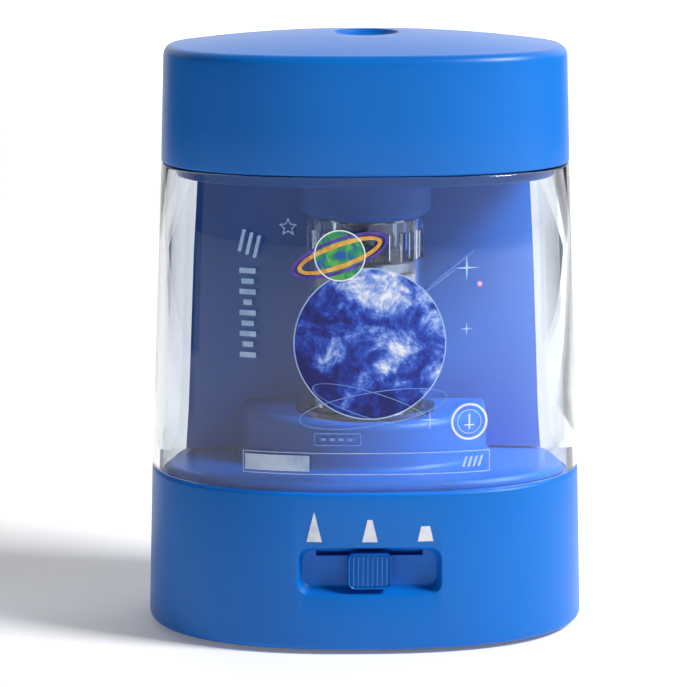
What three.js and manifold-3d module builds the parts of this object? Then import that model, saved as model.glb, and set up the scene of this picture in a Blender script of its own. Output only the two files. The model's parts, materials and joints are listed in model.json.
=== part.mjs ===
// Electric pencil sharpener: oval base with a three position point selector, clear shavings
// barrel, lift-off cap with the pencil hole, rotary helical cutter driven from below.
// Units are millimetres, +Z is up, -Y is the front, the part stands on z = 0.
import * as THREE from 'three';
import { mergeVertices } from 'three/addons/utils/BufferGeometryUtils.js';
import Module from 'manifold-3d';

// ---- body outline -------------------------------------------------------------------------
const PLAN_POWER = 2.42; // superellipse exponent of every horizontal section
const DEPTH_DROP = 10.0; // half depth is half width less this
const PLAN_POINTS = 48;
const HALF_W_BOTTOM = 41.0;
const HALF_W_BASE_SEAM = 40.17;
const HALF_W_CAP_SEAM = 37.94;
const HALF_W_CAP_TOP = 37.33;
const Z_BASE_BOTTOM = 0.7;
const Z_BASE_SEAM = 29.83;
const Z_CAP_SEAM = 86.96;
const Z_CAP_EDGE = 108.45;
const Z_TOP = 111.0;
const FIT_GAP = 0.3; // gap left between neighbouring mouldings

// ---- walls --------------------------------------------------------------------------------
const BASE_WALL = 2.0;
const BARREL_WALL = 2.2;
const CAP_WALL = 2.0;
const CAP_EDGE_R = 1.8;
const LEDGE_WIDTH = 5.0;
const Z_LEDGE_UNDER = 27.6;

// ---- chamber floor, pedestal and rear housing ---------------------------------------------
const PLINTH_INSET = 3.0;
const Z_FLOOR = 31.4;
const Z_PEDESTAL = 40.0;
const PEDESTAL_R = 23.5;
const PEDESTAL_EDGE_R = 1.6;
const PANEL_Y = 8.0; // front face of the rear housing
const HOUSING_WALL = 1.3;
const HOUSING_SIDE_INSET = 4.9;
const HOUSING_BACK_INSET = 2.9;
const Z_HOUSING_TOP = 84.2;

// ---- cap ----------------------------------------------------------------------------------
const AXIS_Y = -3.2; // the pencil, the cutter carrier and the boss share this vertical axis
const BOSS_R = 12.2;
const Z_BOSS_BOTTOM = 76.5;
const Z_CAP_PLATE = 84.6;
const PENCIL_BORE_R = 4.4;
const DISH_R = 6.2;
const DISH_DEPTH = 1.3;

// ---- selector -----------------------------------------------------------------------------
const RECESS_Z = 15.4;
const RECESS_FLOOR_Y = -27.4;
const RECESS_HALF_L = 12.3;
const RECESS_HALF_H = 3.45;
const SELECTOR_TRAVEL = 8.1; // to each side of the middle setting
const WEDGE_SLOPE = 0.12;
const Z_WEDGE_MID = 20.3;

// ---- cutter and gears ---------------------------------------------------------------------
const CAGE_R = 10.8;
const CAGE_BORE_R = 9.5;
const Z_CAGE_TOP = 76.2;
const CUTTER_TILT = THREE.MathUtils.degToRad(10.26);
const CUTTER_R = 2.6;
const Z_PINION_MID = 65.3;
const PINION_OFFSET = 7.0; // cutter axis to carrier axis at the pinion
const RING_TEETH = 50;
const CUTTER_PINION_TEETH = 10;
const FINE_MODULE = 0.35;
const DRIVE_TEETH = 40;
const COMPOUND_SMALL_TEETH = 12;
const DRIVE_MODULE = 0.5;
const COMPOUND_LARGE_TEETH = 40;
const MOTOR_PINION_TEETH = 10;
const MOTOR_MODULE = 0.4;
const MOTOR_Y = 16.9;
const MOTOR_R = 10.0;
const MOTOR_HALF_FLAT = 7.2;
const FAR = 60; // reach of the half spaces used for trimming, well outside the body

const BLUE = '#0a63c9';
const DEEP_BLUE = '#0b55b4';
const CLEAR = '#e9eef2';
const STEEL = '#b9bec4';
const TOOL_STEEL = '#8d9298';
const WHITE = '#e8e6df';
const BLACK = '#1b1d20';
const BRASS = '#c9a14d';
const RUBBER = '#2a2c30';
const GREEN = '#1f6b43';

const wasm = await Module();
wasm.setup();

function halfWidth(z) {
  const stations = [
    [0, HALF_W_BOTTOM],
    [Z_BASE_SEAM, HALF_W_BASE_SEAM],
    [Z_CAP_SEAM, HALF_W_CAP_SEAM],
    [Z_CAP_EDGE, HALF_W_CAP_TOP],
  ];
  for (let i = 1; i < stations.length; i += 1) {
    const [z0, w0] = stations[i - 1];
    const [z1, w1] = stations[i];
    if (z <= z1 || i === stations.length - 1) {
      return w0 + ((w1 - w0) * (z - z0)) / (z1 - z0);
    }
  }
  return HALF_W_CAP_TOP;
}

// Superellipse ring at height z, pulled in by one inset at the sides and another at the back.
function oval(z, insetX, insetY = insetX, scale = 1) {
  const a = (halfWidth(z) - insetX) * scale;
  const b = (halfWidth(z) - DEPTH_DROP - insetY) * scale;
  const ring = [];
  for (let i = 0; i < PLAN_POINTS; i += 1) {
    const t = (i / PLAN_POINTS) * Math.PI * 2;
    const c = Math.cos(t);
    const s = Math.sin(t);
    const x = a * Math.sign(c) * Math.abs(c) ** (2 / PLAN_POWER);
    const y = b * Math.sign(s) * Math.abs(s) ** (2 / PLAN_POWER);
    ring.push(new THREE.Vector3(x, y, z));
  }
  return ring;
}

// Skin over a row of rings with equal point counts; open rows are closed by flat fans.
function loft(rings, ringToRing = false) {
  const n = rings[0].length;
  const positions = rings.flat().flatMap((p) => [p.x, p.y, p.z]);
  const indices = [];
  const bands = ringToRing ? rings.length : rings.length - 1;
  for (let b = 0; b < bands; b += 1) {
    const low = b * n;
    const high = ((b + 1) % rings.length) * n;
    for (let i = 0; i < n; i += 1) {
      const j = (i + 1) % n;
      indices.push(low + i, low + j, high + j, low + i, high + j, high + i);
    }
  }
  if (!ringToRing) {
    const ends = [[rings[0], 0, true], [rings.at(-1), (rings.length - 1) * n, false]];
    for (const [ring, start, flip] of ends) {
      const centre = ring.reduce((sum, p) => sum.add(p), new THREE.Vector3()).divideScalar(n);
      const hub = positions.length / 3;
      positions.push(centre.x, centre.y, centre.z);
      for (let i = 0; i < n; i += 1) {
        const j = (i + 1) % n;
        indices.push(hub, start + (flip ? j : i), start + (flip ? i : j));
      }
    }
  }
  const geometry = new THREE.BufferGeometry();
  geometry.setAttribute('position', new THREE.Float32BufferAttribute(positions, 3));
  geometry.setIndex(indices);
  return solid(geometry);
}

// Closed body for joining and cutting, always facing outwards.
function solid(geometry) {
  const bare = new THREE.BufferGeometry();
  bare.setAttribute('position', geometry.getAttribute('position').clone());
  if (geometry.index) {
    bare.setIndex(Array.from(geometry.index.array));
  }
  const welded = mergeVertices(bare, 1e-4);
  const at = welded.getAttribute('position');
  const index = welded.index.array;
  const faces = [];
  let volume = 0;
  const [a, b, c] = [new THREE.Vector3(), new THREE.Vector3(), new THREE.Vector3()];
  for (let i = 0; i < index.length; i += 3) {
    const [p, q, r] = [index[i], index[i + 1], index[i + 2]];
    if (p !== q && q !== r && r !== p) {
      faces.push([p, q, r]);
      a.fromBufferAttribute(at, p);
      b.fromBufferAttribute(at, q);
      c.fromBufferAttribute(at, r);
      volume += a.dot(b.cross(c));
    }
  }
  const turned = volume < 0 ? faces.map(([p, q, r]) => [p, r, q]) : faces;
  return new wasm.Manifold(
    new wasm.Mesh({
      numProp: 3,
      vertProperties: new Float32Array(at.array),
      triVerts: new Uint32Array(turned.flat()),
    }),
  );
}

const join = (first, ...rest) => rest.reduce((sum, s) => sum.add(s), first);
const cut = (first, ...rest) => rest.reduce((sum, s) => sum.subtract(s), first);

function box(x0, x1, y0, y1, z0, z1) {
  const g = new THREE.BoxGeometry(x1 - x0, y1 - y0, z1 - z0);
  g.translate((x0 + x1) / 2, (y0 + y1) / 2, (z0 + z1) / 2);
  return solid(g);
}

// Round bar along Z between two heights.
function bar(r, z0, z1, x = 0, y = 0, sides = 24) {
  const g = new THREE.CylinderGeometry(r, r, z1 - z0, sides);
  g.rotateX(Math.PI / 2);
  g.translate(x, y, (z0 + z1) / 2);
  return solid(g);
}

// Body of revolution about a vertical line; the profile lists [radius, z] from axis to axis.
function turn(profile, x = 0, y = 0, sides = 32) {
  const points = profile.map(([r, z]) => new THREE.Vector2(r, z));
  const g = new THREE.LatheGeometry(points, sides);
  g.rotateX(Math.PI / 2);
  g.translate(x, y, 0);
  return solid(g);
}

// Straight prism over a plan outline of [x, y] pairs.
function prism(outline, z0, z1) {
  const shape = new THREE.Shape(outline.map(([x, y]) => new THREE.Vector2(x, y)));
  const g = new THREE.ExtrudeGeometry(shape, { depth: z1 - z0, bevelEnabled: false, steps: 1 });
  g.translate(0, 0, z0);
  return solid(g);
}

// Rounded rectangle in the XZ plane at depth y.
function slotRing(y, halfL, halfH, r, zMid) {
  const ring = [];
  const steps = 4;
  for (const [sx, sz, start] of [[1, 1, 0], [-1, 1, 1], [-1, -1, 2], [1, -1, 3]]) {
    for (let i = 0; i <= steps; i += 1) {
      const t = (start + i / steps) * (Math.PI / 2);
      const x = sx * (halfL - r) + r * Math.cos(t);
      const z = zMid + sz * (halfH - r) + r * Math.sin(t);
      ring.push(new THREE.Vector3(x, y, z));
    }
  }
  return ring;
}

// Closed ring of teeth; each step gives a radius and its place as a share of the tooth pitch.
function toothRing(teeth, phase, steps) {
  const pitchAngle = (Math.PI * 2) / teeth;
  const outline = [];
  for (let i = 0; i < teeth; i += 1) {
    for (const [r, share] of steps) {
      const t = phase + (i + share) * pitchAngle;
      outline.push([r * Math.cos(t), r * Math.sin(t)]);
    }
  }
  return outline;
}

// Spur tooth outline. Thin trapezoid teeth leave running backlash.
function gearOutline(teeth, module_, phase) {
  const pitchR = (teeth * module_) / 2;
  const tipR = pitchR + 0.75 * module_;
  const rootR = pitchR - 1.3 * module_;
  return toothRing(teeth, phase, [[rootR, -0.27], [tipR, -0.11], [tipR, 0.11], [rootR, 0.27]]);
}

function gear(teeth, module_, phase, z0, z1, x, y) {
  const outline = gearOutline(teeth, module_, phase).map(([u, v]) => [u + x, v + y]);
  return prism(outline, z0, z1);
}

const group = new THREE.Group();
group.name = 'pencil_sharpener';

function add(name, body, color, roughness, metalness = 0, opacity = 1) {
  const data = body.getMesh();
  const geometry = new THREE.BufferGeometry();
  geometry.setAttribute('position', new THREE.Float32BufferAttribute(data.vertProperties, 3));
  geometry.setIndex(Array.from(data.triVerts));
  const flat = geometry.toNonIndexed();
  flat.computeVertexNormals();
  const material = new THREE.MeshStandardMaterial({ color, roughness, metalness });
  material.transparent = opacity < 1;
  material.opacity = opacity;
  const mesh = new THREE.Mesh(flat, material);
  mesh.name = name;
  group.add(mesh);
}

const GLOSS = 0.35;
const SATIN = 0.5;

// ---- base shell: oval wall with a ledge, selector recess and two pairs of screw posts -----
const SCREW_POSTS = [[-35.2, -2], [35.2, -2], [-11, 25.4], [11, 25.4]];
const POST_R = 3.0;
const SCREW_SHANK_R = 1.1;
const Z_PLATE_UNDER = 1.0;
const Z_PLATE_TOP = 3.0;
const Z_SCREW_TIP = 13;

function roundedRim(z0, r, inset) {
  const steps = 3;
  const rings = [];
  for (let i = 0; i <= steps; i += 1) {
    const t = (i / steps) * (Math.PI / 2);
    rings.push(oval(z0 + r * (1 - Math.cos(t)), inset + r * (1 - Math.sin(t))));
  }
  return rings;
}

const SEAM_LIP = 0.35;
const BASE_EDGE_R = 1.2;
const Z_BASE_TOP = Z_BASE_SEAM - FIT_GAP / 2;
const baseOuter = [
  ...roundedRim(Z_BASE_BOTTOM, BASE_EDGE_R, 0),
  oval(Z_BASE_TOP - SEAM_LIP, 0),
  oval(Z_BASE_TOP, SEAM_LIP),
];
const baseInner = [
  oval(Z_BASE_TOP, LEDGE_WIDTH),
  oval(Z_LEDGE_UNDER, LEDGE_WIDTH),
  oval(Z_LEDGE_UNDER, BASE_WALL),
  oval(Z_BASE_BOTTOM, BASE_WALL),
];
let baseShell = loft([...baseOuter, ...baseInner], true);
for (const [x, y] of SCREW_POSTS) {
  baseShell = baseShell.add(bar(POST_R, Z_PLATE_TOP + FIT_GAP, Z_LEDGE_UNDER + 0.5, x, y, 16));
}
// posts are trimmed to the outer wall, then the selector recess is let into a backing block
const outerBound = loft(baseOuter);
const BACKING_HALF_L = 15;
const BACKING_MARGIN = 6;
const BACKING_THICKNESS = 1.6;
const recessBack = box(
  -BACKING_HALF_L, BACKING_HALF_L, RECESS_FLOOR_Y - 2, RECESS_FLOOR_Y + BACKING_THICKNESS,
  RECESS_Z - BACKING_MARGIN, RECESS_Z + BACKING_MARGIN,
);
baseShell = baseShell.add(recessBack).intersect(outerBound);
// the recess walls open towards the front
const FLARE_DEPTH = 4.6;
const FLARE_X = 0.34;
const FLARE_Z = 0.36;
const mouthHalfL = RECESS_HALF_L + FLARE_X * FLARE_DEPTH;
const mouthHalfH = RECESS_HALF_H + FLARE_Z * FLARE_DEPTH;
const recess = loft([
  slotRing(RECESS_FLOOR_Y - FLARE_DEPTH, mouthHalfL, mouthHalfH, 3.2, RECESS_Z),
  slotRing(RECESS_FLOOR_Y, RECESS_HALF_L, RECESS_HALF_H, 1.6, RECESS_Z),
]);
const STEM_HALF_L = 1.3;
const STEM_CLEAR = 0.12;
const STEM_Z = [RECESS_Z + 2.45, RECESS_Z + 3.2];
const stemSlotHalf = SELECTOR_TRAVEL + STEM_HALF_L + FIT_GAP;
baseShell = cut(
  baseShell,
  recess,
  box(
    -stemSlotHalf, stemSlotHalf, RECESS_FLOOR_Y - 0.5, RECESS_FLOOR_Y + BACKING_THICKNESS + 1,
    STEM_Z[0] - STEM_CLEAR, STEM_Z[1] + STEM_CLEAR,
  ),
  ...SCREW_POSTS.map(([x, y]) => bar(SCREW_SHANK_R + 0.1, 0, Z_SCREW_TIP + 1, x, y, 12)),
);
add('base_shell', baseShell, BLUE, GLOSS);

// ---- base plate with the battery bay ------------------------------------------------------
const CELL_ROWS = [-2.6, 12.4];
const CELL_R = 7.1;
const CELL_Z = 10.6;
const BAY_HALF_L = 27.4;
const BAY_WALL = 1.2;
const BAY_Y = [-10.0, 19.8];
const Z_BAY_ROOF = 18.6;

const plateInset = BASE_WALL + FIT_GAP;
const plateBody = loft([oval(Z_PLATE_UNDER, plateInset), oval(Z_PLATE_TOP, plateInset)]);
const bayOuter = box(
  -BAY_HALF_L - BAY_WALL, BAY_HALF_L + BAY_WALL, BAY_Y[0] - BAY_WALL, BAY_Y[1] + BAY_WALL, 2, Z_BAY_ROOF,
);
const bayInner = box(-BAY_HALF_L, BAY_HALF_L, BAY_Y[0], BAY_Y[1], 0, Z_BAY_ROOF - 0.7);
const FEET = [[-22, -18.5, 3.5], [22, -18.5, 3.5], [-31.8, 13, 3.0], [31.8, 13, 3.0]];
const gearBetween = MOTOR_Y - AXIS_Y;
const reachDrive = ((DRIVE_TEETH + COMPOUND_SMALL_TEETH) * DRIVE_MODULE) / 2;
const reachMotor = ((COMPOUND_LARGE_TEETH + MOTOR_PINION_TEETH) * MOTOR_MODULE) / 2;
const alongLine = (reachDrive ** 2 - reachMotor ** 2 + gearBetween ** 2) / (2 * gearBetween);
const COMPOUND_X = Math.sqrt(reachDrive ** 2 - alongLine ** 2);
const COMPOUND_Y = AXIS_Y + alongLine;
const AXLE_R = 1.0;
const AXLE_BOSS_R = 2.6;
const COUNTERBORE_R = 2.5;
const Z_COUNTERBORE = 2.2;

let basePlate = join(
  plateBody.add(bayOuter),
  bar(AXLE_BOSS_R, Z_BAY_ROOF - 0.2, 21.4, COMPOUND_X, COMPOUND_Y, 16),
);
basePlate = cut(
  basePlate,
  bayInner,
  bar(AXLE_R + 0.05, Z_BAY_ROOF + 1.0, 25, COMPOUND_X, COMPOUND_Y, 16),
  ...SCREW_POSTS.map(([x, y]) => bar(SCREW_SHANK_R + FIT_GAP, 0, 5, x, y, 12)),
  ...SCREW_POSTS.map(([x, y]) => bar(COUNTERBORE_R, 0, Z_COUNTERBORE, x, y, 16)),
);
add('base_plate', basePlate, BLACK, SATIN);

const batteryDoor = box(
  -BAY_HALF_L + FIT_GAP, BAY_HALF_L - FIT_GAP, BAY_Y[0] + FIT_GAP, BAY_Y[1] - FIT_GAP,
  Z_PLATE_UNDER, Z_PLATE_TOP - FIT_GAP,
);
const GRIP_HALF_L = 7;
const GRIP_WIDTH = 0.6;
const gripGrooves = [13.5, 14.8, 16.1, 17.4].map((y) => (
  box(-GRIP_HALF_L, GRIP_HALF_L, y, y + GRIP_WIDTH, 0, Z_PLATE_UNDER + 0.5)
));
add('battery_door', cut(batteryDoor, ...gripGrooves), BLACK, SATIN);

const FOOT_T = 0.8;
FEET.forEach(([x, y, r], i) => {
  const pad = turn([[0, 0], [r - 0.4, 0], [r, 0.35], [r, FOOT_T], [0, FOOT_T]], x, y, 20);
  add(`foot_${i + 1}`, pad, RUBBER, 0.9);
});
const SCREW_HEAD_R = 2.15;
const DRIVE_HALF_L = 1.3;
const DRIVE_HALF_W = 0.22;
SCREW_POSTS.forEach(([x, y], i) => {
  const screw = turn(
    [
      [0, 1.15], [1.7, 1.15], [SCREW_HEAD_R, 1.5], [SCREW_HEAD_R, 2.0],
      [SCREW_SHANK_R, 2.1], [SCREW_SHANK_R, Z_SCREW_TIP - 1], [0, Z_SCREW_TIP],
    ],
    x, y, 16,
  );
  const crossSlots = [
    box(x - DRIVE_HALF_L, x + DRIVE_HALF_L, y - DRIVE_HALF_W, y + DRIVE_HALF_W, 1, 1.8),
    box(x - DRIVE_HALF_W, x + DRIVE_HALF_W, y - DRIVE_HALF_L, y + DRIVE_HALF_L, 1, 1.8),
  ];
  add(`base_screw_${i + 1}`, cut(screw, ...crossSlots), STEEL, 0.35, 1);
});

// ---- cells and their contacts -------------------------------------------------------------
const CELL_END = 24.9; // flat end to the middle of the bay
const CELL_SHOULDER = 24.2;
const NUB_R = 2.8;
const NUB_END = 25.3;
const CONTACT_HALF_W = 4.5;
const CONTACT_X = [BAY_HALF_L - 0.7, BAY_HALF_L - 0.2];
const CONTACT_Z = [5, 16];
CELL_ROWS.forEach((y, row) => {
  const points = [[0, -CELL_END], [CELL_R - 0.5, -CELL_END], [CELL_R, 0.5 - CELL_END]];
  points.push([CELL_R, CELL_SHOULDER - 0.6], [CELL_R - 0.6, CELL_SHOULDER]);
  points.push([NUB_R, CELL_SHOULDER], [NUB_R, NUB_END], [0, NUB_END]);
  const g = new THREE.LatheGeometry(points.map(([r, z]) => new THREE.Vector2(r, z)), 24);
  g.rotateZ(row === 0 ? -Math.PI / 2 : Math.PI / 2);
  g.translate(0, y, CELL_Z);
  add(`cell_${row + 1}`, solid(g), BRASS, 0.4, 0.6);
  for (const side of [-1, 1]) {
    const [x0, x1] = CONTACT_X.map((x) => side * x).sort((a, b) => a - b);
    const plate = box(x0, x1, y - CONTACT_HALF_W, y + CONTACT_HALF_W, ...CONTACT_Z);
    add(`contact_${side < 0 ? 'left' : 'right'}_${row + 1}`, plate, STEEL, 0.3, 1);
  }
});

// ---- deck: plinth, pedestal over the gear train, bearing posts ----------------------------
const PLINTH_EDGE_R = 1.1;
const PLINTH_T = 1.45;
const plinthRings = [oval(Z_FLOOR - PLINTH_T, PLINTH_INSET)];
for (let i = 0; i <= 3; i += 1) {
  const t = (i / 3) * (Math.PI / 2);
  const z = Z_FLOOR - PLINTH_EDGE_R * (1 - Math.sin(t));
  plinthRings.push(oval(z, PLINTH_INSET + PLINTH_EDGE_R * (1 - Math.cos(t))));
}
const plinth = loft(plinthRings);
const PEDESTAL_Y = PANEL_Y - FIT_GAP;
const FILLET = 0.9;
const pedestalProfile = [[0, Z_FLOOR - 1.4], [PEDESTAL_R + FILLET, Z_FLOOR - 1.4]];
pedestalProfile.push([PEDESTAL_R + FILLET, Z_FLOOR], [PEDESTAL_R + 0.25, Z_FLOOR + 0.25]);
pedestalProfile.push([PEDESTAL_R, Z_FLOOR + FILLET]);
for (let i = 0; i <= 4; i += 1) {
  const t = (i / 4) * (Math.PI / 2);
  pedestalProfile.push([
    PEDESTAL_R - PEDESTAL_EDGE_R * (1 - Math.cos(t)),
    Z_PEDESTAL - PEDESTAL_EDGE_R * (1 - Math.sin(t)),
  ]);
}
pedestalProfile.push([0, Z_PEDESTAL]);
const PEDESTAL_WALL = 1.6;
const frontHalf = box(-FAR, FAR, -FAR, PEDESTAL_Y, -FAR, 2 * FAR);
const pedestal = turn(pedestalProfile, 0, PEDESTAL_Y, 44).intersect(frontHalf);
const pedestalHollow = bar(
  PEDESTAL_R - PEDESTAL_WALL, 20, Z_PEDESTAL - PEDESTAL_WALL, 0, PEDESTAL_Y, 36,
).intersect(box(-FAR, FAR, -FAR, PEDESTAL_Y + 1, -FAR, 2 * FAR));

function housingRing(z, wall) {
  return oval(z, HOUSING_SIDE_INSET + wall, HOUSING_BACK_INSET + wall);
}
const behindPanel = (y, z0, z1) => box(-FAR, FAR, y, FAR, z0, z1);
const housingWell = loft([housingRing(25, HOUSING_WALL), housingRing(40, HOUSING_WALL)]).intersect(
  behindPanel(PANEL_Y + HOUSING_WALL + FIT_GAP, 25, 40),
);
const POST_X = 14.5;
const GEAR_WINDOW_HALF_W = 14;
const SHAFT_HOLE_R = 5.3;
const bearingPosts = [-1, 1].map((s) => bar(2.0, 28.7, Z_PEDESTAL - 1, s * POST_X, AXIS_Y, 16));
let deck = cut(
  plinth.add(pedestal),
  pedestalHollow,
  housingWell,
  box(-GEAR_WINDOW_HALF_W, GEAR_WINDOW_HALF_W, PANEL_Y - 4, PANEL_Y + 4, 20, Z_FLOOR + 0.1),
);
deck = cut(
  join(deck, ...bearingPosts),
  bar(SHAFT_HOLE_R, 30, 50, 0, AXIS_Y, 32),
  ...[-1, 1].map((s) => bar(0.9, 20, 35, s * POST_X, AXIS_Y, 12)),
);
add('deck', deck, BLUE, GLOSS);

// ---- rear housing: closed column for the motor, the start switch and the circuit board ----
const Z_HOUSING_FOOT = Z_FLOOR + FIT_GAP;
const PLUNGER_Z = [77.9, 81.5];
const PLUNGER_HALF_W = 2.2;
const housingOuter = loft([
  housingRing(Z_HOUSING_FOOT, 0),
  housingRing(Z_HOUSING_TOP - 0.8, 0),
  housingRing(Z_HOUSING_TOP, 0.8),
]).intersect(behindPanel(PANEL_Y, 0, 120));
const housingInner = loft([
  housingRing(Z_HOUSING_FOOT - 1, HOUSING_WALL),
  housingRing(Z_HOUSING_TOP - HOUSING_WALL, HOUSING_WALL),
]).intersect(behindPanel(PANEL_Y + HOUSING_WALL, 0, 120));
const BOARD_X = [-27.5, -12.5];
const BOARD_Z = [40, 78];
const boardBosses = [BOARD_Z[0] + 4, BOARD_Z[1] - 4].map((z) => {
  const g = new THREE.CylinderGeometry(2.0, 2.0, 3.0, 16);
  g.translate((BOARD_X[0] + BOARD_X[1]) / 2, PANEL_Y + HOUSING_WALL - 0.5 + 1.5, z);
  return solid(g);
});
const housing = cut(
  join(housingOuter.subtract(housingInner), ...boardBosses),
  box(-13, 13, PANEL_Y - 2, PANEL_Y + HOUSING_WALL + 0.5, 20, 37.4),
  box(
    -PLUNGER_HALF_W - 0.1, PLUNGER_HALF_W + 0.1, PANEL_Y - 2, PANEL_Y + 3,
    PLUNGER_Z[0] - 0.1, PLUNGER_Z[1] + 0.1,
  ),
);
add('rear_housing', housing, BLUE, GLOSS);

const boardY = PANEL_Y + HOUSING_WALL + 2.8;
const board = box(BOARD_X[0], BOARD_X[1], boardY, boardY + 1.4, BOARD_Z[0], BOARD_Z[1]);
add('circuit_board', board, GREEN, 0.45);
const capacitorX = -18;
const capacitor = new THREE.CylinderGeometry(2.5, 2.5, 5.0, 20);
capacitor.translate(capacitorX, boardY + 1.6 + 2.5, 62);
add('capacitor', solid(capacitor), BLACK, 0.4);

// ---- barrel: clear oval tube --------------------------------------------------------------
const barrelFoot = Z_BASE_SEAM + 0.15;
const barrelTop = Z_CAP_SEAM - 0.12;
const barrel = loft(
  [
    oval(barrelFoot, 0.25),
    oval(barrelFoot + 0.3, 0),
    oval((barrelFoot + barrelTop) / 2, 0),
    oval(barrelTop - 0.3, 0),
    oval(barrelTop, 0.3),
    oval(barrelTop, BARREL_WALL),
    oval((barrelFoot + barrelTop) / 2, BARREL_WALL),
    oval(barrelFoot, BARREL_WALL),
  ],
  true,
);
add('barrel', barrel, CLEAR, 0.05, 0, 0.3);

// ---- cap shell: crowned top, pencil dish, four screw posts --------------------------------
const capFoot = Z_CAP_SEAM + 0.12;
const capCeiling = Z_CAP_EDGE - 0.9;
const capRings = [oval(capCeiling, CAP_WALL), oval(capFoot, CAP_WALL)];
capRings.push(oval(capFoot, 0.3), oval(capFoot + 0.3, 0));
for (let i = 0; i <= 4; i += 1) {
  const t = (i / 4) * (Math.PI / 2);
  const z = Z_CAP_EDGE - CAP_EDGE_R * (1 - Math.sin(t));
  capRings.push(oval(z, CAP_EDGE_R * (1 - Math.cos(t))));
}
for (const scale of [0.84, 0.62, 0.4, 0.16]) {
  const ring = oval(Z_CAP_EDGE, CAP_EDGE_R, CAP_EDGE_R, scale);
  ring.forEach((p) => p.setZ(Z_CAP_EDGE + (Z_TOP - Z_CAP_EDGE) * (1 - scale * scale)));
  capRings.push(ring);
}
capRings.at(-1).forEach((p) => p.setZ(Z_TOP));
const CAP_SCREWS = [[-27, -11], [27, -11], [-27, 11], [27, 11]];
const CAP_POST_R = 2.8;
const capPosts = CAP_SCREWS.map(([x, y]) => bar(CAP_POST_R, 89.2, capCeiling + 0.5, x, y, 16));
const zDishRim = Z_TOP - 0.05;
const dish = turn(
  [
    [0, Z_TOP - DISH_DEPTH], [PENCIL_BORE_R, Z_TOP - DISH_DEPTH], [5.2, zDishRim - 0.95],
    [5.9, zDishRim - 0.35], [DISH_R + 0.2, zDishRim], [DISH_R + 0.6, Z_TOP + 2], [0, Z_TOP + 2],
  ],
  0, AXIS_Y, 40,
);
const capShell = cut(
  join(loft(capRings), ...capPosts),
  dish,
  bar(PENCIL_BORE_R, 100, 115, 0, AXIS_Y, 40),
  ...CAP_SCREWS.map(([x, y]) => bar(1.0, 80, 99, x, y, 12)),
);
add('cap_shell', capShell, BLUE, GLOSS);

// ---- cap plate with the hanging boss ------------------------------------------------------
const plugInset = BARREL_WALL + FIT_GAP;
const Z_PLATE_SHOULDER = 88.9;
const plugOuter = loft([
  oval(Z_CAP_PLATE, plugInset + 0.4),
  oval(Z_CAP_PLATE + 0.5, plugInset),
  oval(Z_PLATE_SHOULDER, plugInset),
]);
const plugPocket = loft([oval(Z_CAP_PLATE + 1.8, 5), oval(Z_PLATE_SHOULDER + 1, 5)]);
const BOSS_EDGE_R = 1.4;
const bossProfile = [[0, Z_BOSS_BOTTOM]];
for (let i = 0; i <= 4; i += 1) {
  const t = (i / 4) * (Math.PI / 2);
  bossProfile.push([
    BOSS_R - BOSS_EDGE_R * (1 - Math.sin(t)),
    Z_BOSS_BOTTOM + BOSS_EDGE_R * (1 - Math.cos(t)),
  ]);
}
bossProfile.push([BOSS_R, Z_CAP_PLATE + 1], [0, Z_CAP_PLATE + 1]);
const GUIDE_R = 5.6;
const Z_GUIDE_SEAT = 83.0;
const boss = turn(bossProfile, 0, AXIS_Y, 40).intersect(box(-30, 30, -30, PANEL_Y - 0.4, 0, 120));
const collar = bar(GUIDE_R + 1.6, Z_CAP_PLATE + 1, 92, 0, AXIS_Y, 32);
const capPlate = cut(
  join(plugOuter.subtract(plugPocket), boss, collar),
  bar(PENCIL_BORE_R, 70, 95, 0, AXIS_Y, 32),
  bar(GUIDE_R + 0.1, Z_GUIDE_SEAT, 95, 0, AXIS_Y, 32),
  box(-PLUNGER_HALF_W - 0.5, PLUNGER_HALF_W + 0.5, AXIS_Y, 12, 70, Z_CAP_PLATE - 0.7),
  ...CAP_SCREWS.map(([x, y]) => bar(1.5, 80, 95, x, y, 12)),
  ...CAP_SCREWS.map(([x, y]) => bar(2.5, 80, Z_CAP_PLATE + 0.9, x, y, 16)),
);
add('cap_plate', capPlate, DEEP_BLUE, GLOSS);

const guide = cut(
  bar(GUIDE_R, Z_GUIDE_SEAT + FIT_GAP, capCeiling - FIT_GAP, 0, AXIS_Y, 32),
  bar(PENCIL_BORE_R - 0.1, 70, 120, 0, AXIS_Y, 32),
);
add('pencil_guide', guide, WHITE, SATIN);
CAP_SCREWS.forEach(([x, y], i) => {
  const head = Z_CAP_PLATE + 0.2;
  const screw = turn(
    [
      [0, head], [1.7, head], [2.1, head + 0.2], [2.1, head + 0.55],
      [0.9, head + 0.6], [0.9, 97], [0, 98],
    ],
    x, y, 16,
  );
  add(`cap_screw_${i + 1}`, screw, STEEL, 0.35, 1);
});

// ---- guard cage and the fixed ring gear ---------------------------------------------------
const Z_RING = [64.0, 66.6];
const Z_CAGE_FOOT = Z_PEDESTAL + FIT_GAP;
const CAGE_FLANGE_R = 13.0;
const CAGE_WINDOW_ROWS = [[45.5, 61.5, 1.75], [69.2, 74.2, 1.5]]; // [from z, to z, half width]
const cageOuter = turn(
  [
    [0, Z_CAGE_FOOT], [CAGE_FLANGE_R, Z_CAGE_FOOT], [CAGE_FLANGE_R, Z_CAGE_FOOT + 1],
    [CAGE_R + 0.4, 41.8], [CAGE_R, 42.4], [CAGE_R, Z_CAGE_TOP], [0, Z_CAGE_TOP],
  ],
  0, AXIS_Y, 36,
).intersect(box(-30, 30, -30, PANEL_Y - 0.35, 0, 120));
const windows = [];
for (let i = 0; i < 6; i += 1) {
  const angle = (i * Math.PI) / 6 + Math.PI / 12;
  for (const [z0, z1, half] of CAGE_WINDOW_ROWS) {
    const g = new THREE.BoxGeometry(30, half * 2, z1 - z0);
    g.rotateZ(angle);
    g.translate(0, AXIS_Y, (z0 + z1) / 2);
    windows.push(solid(g));
  }
}
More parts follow.
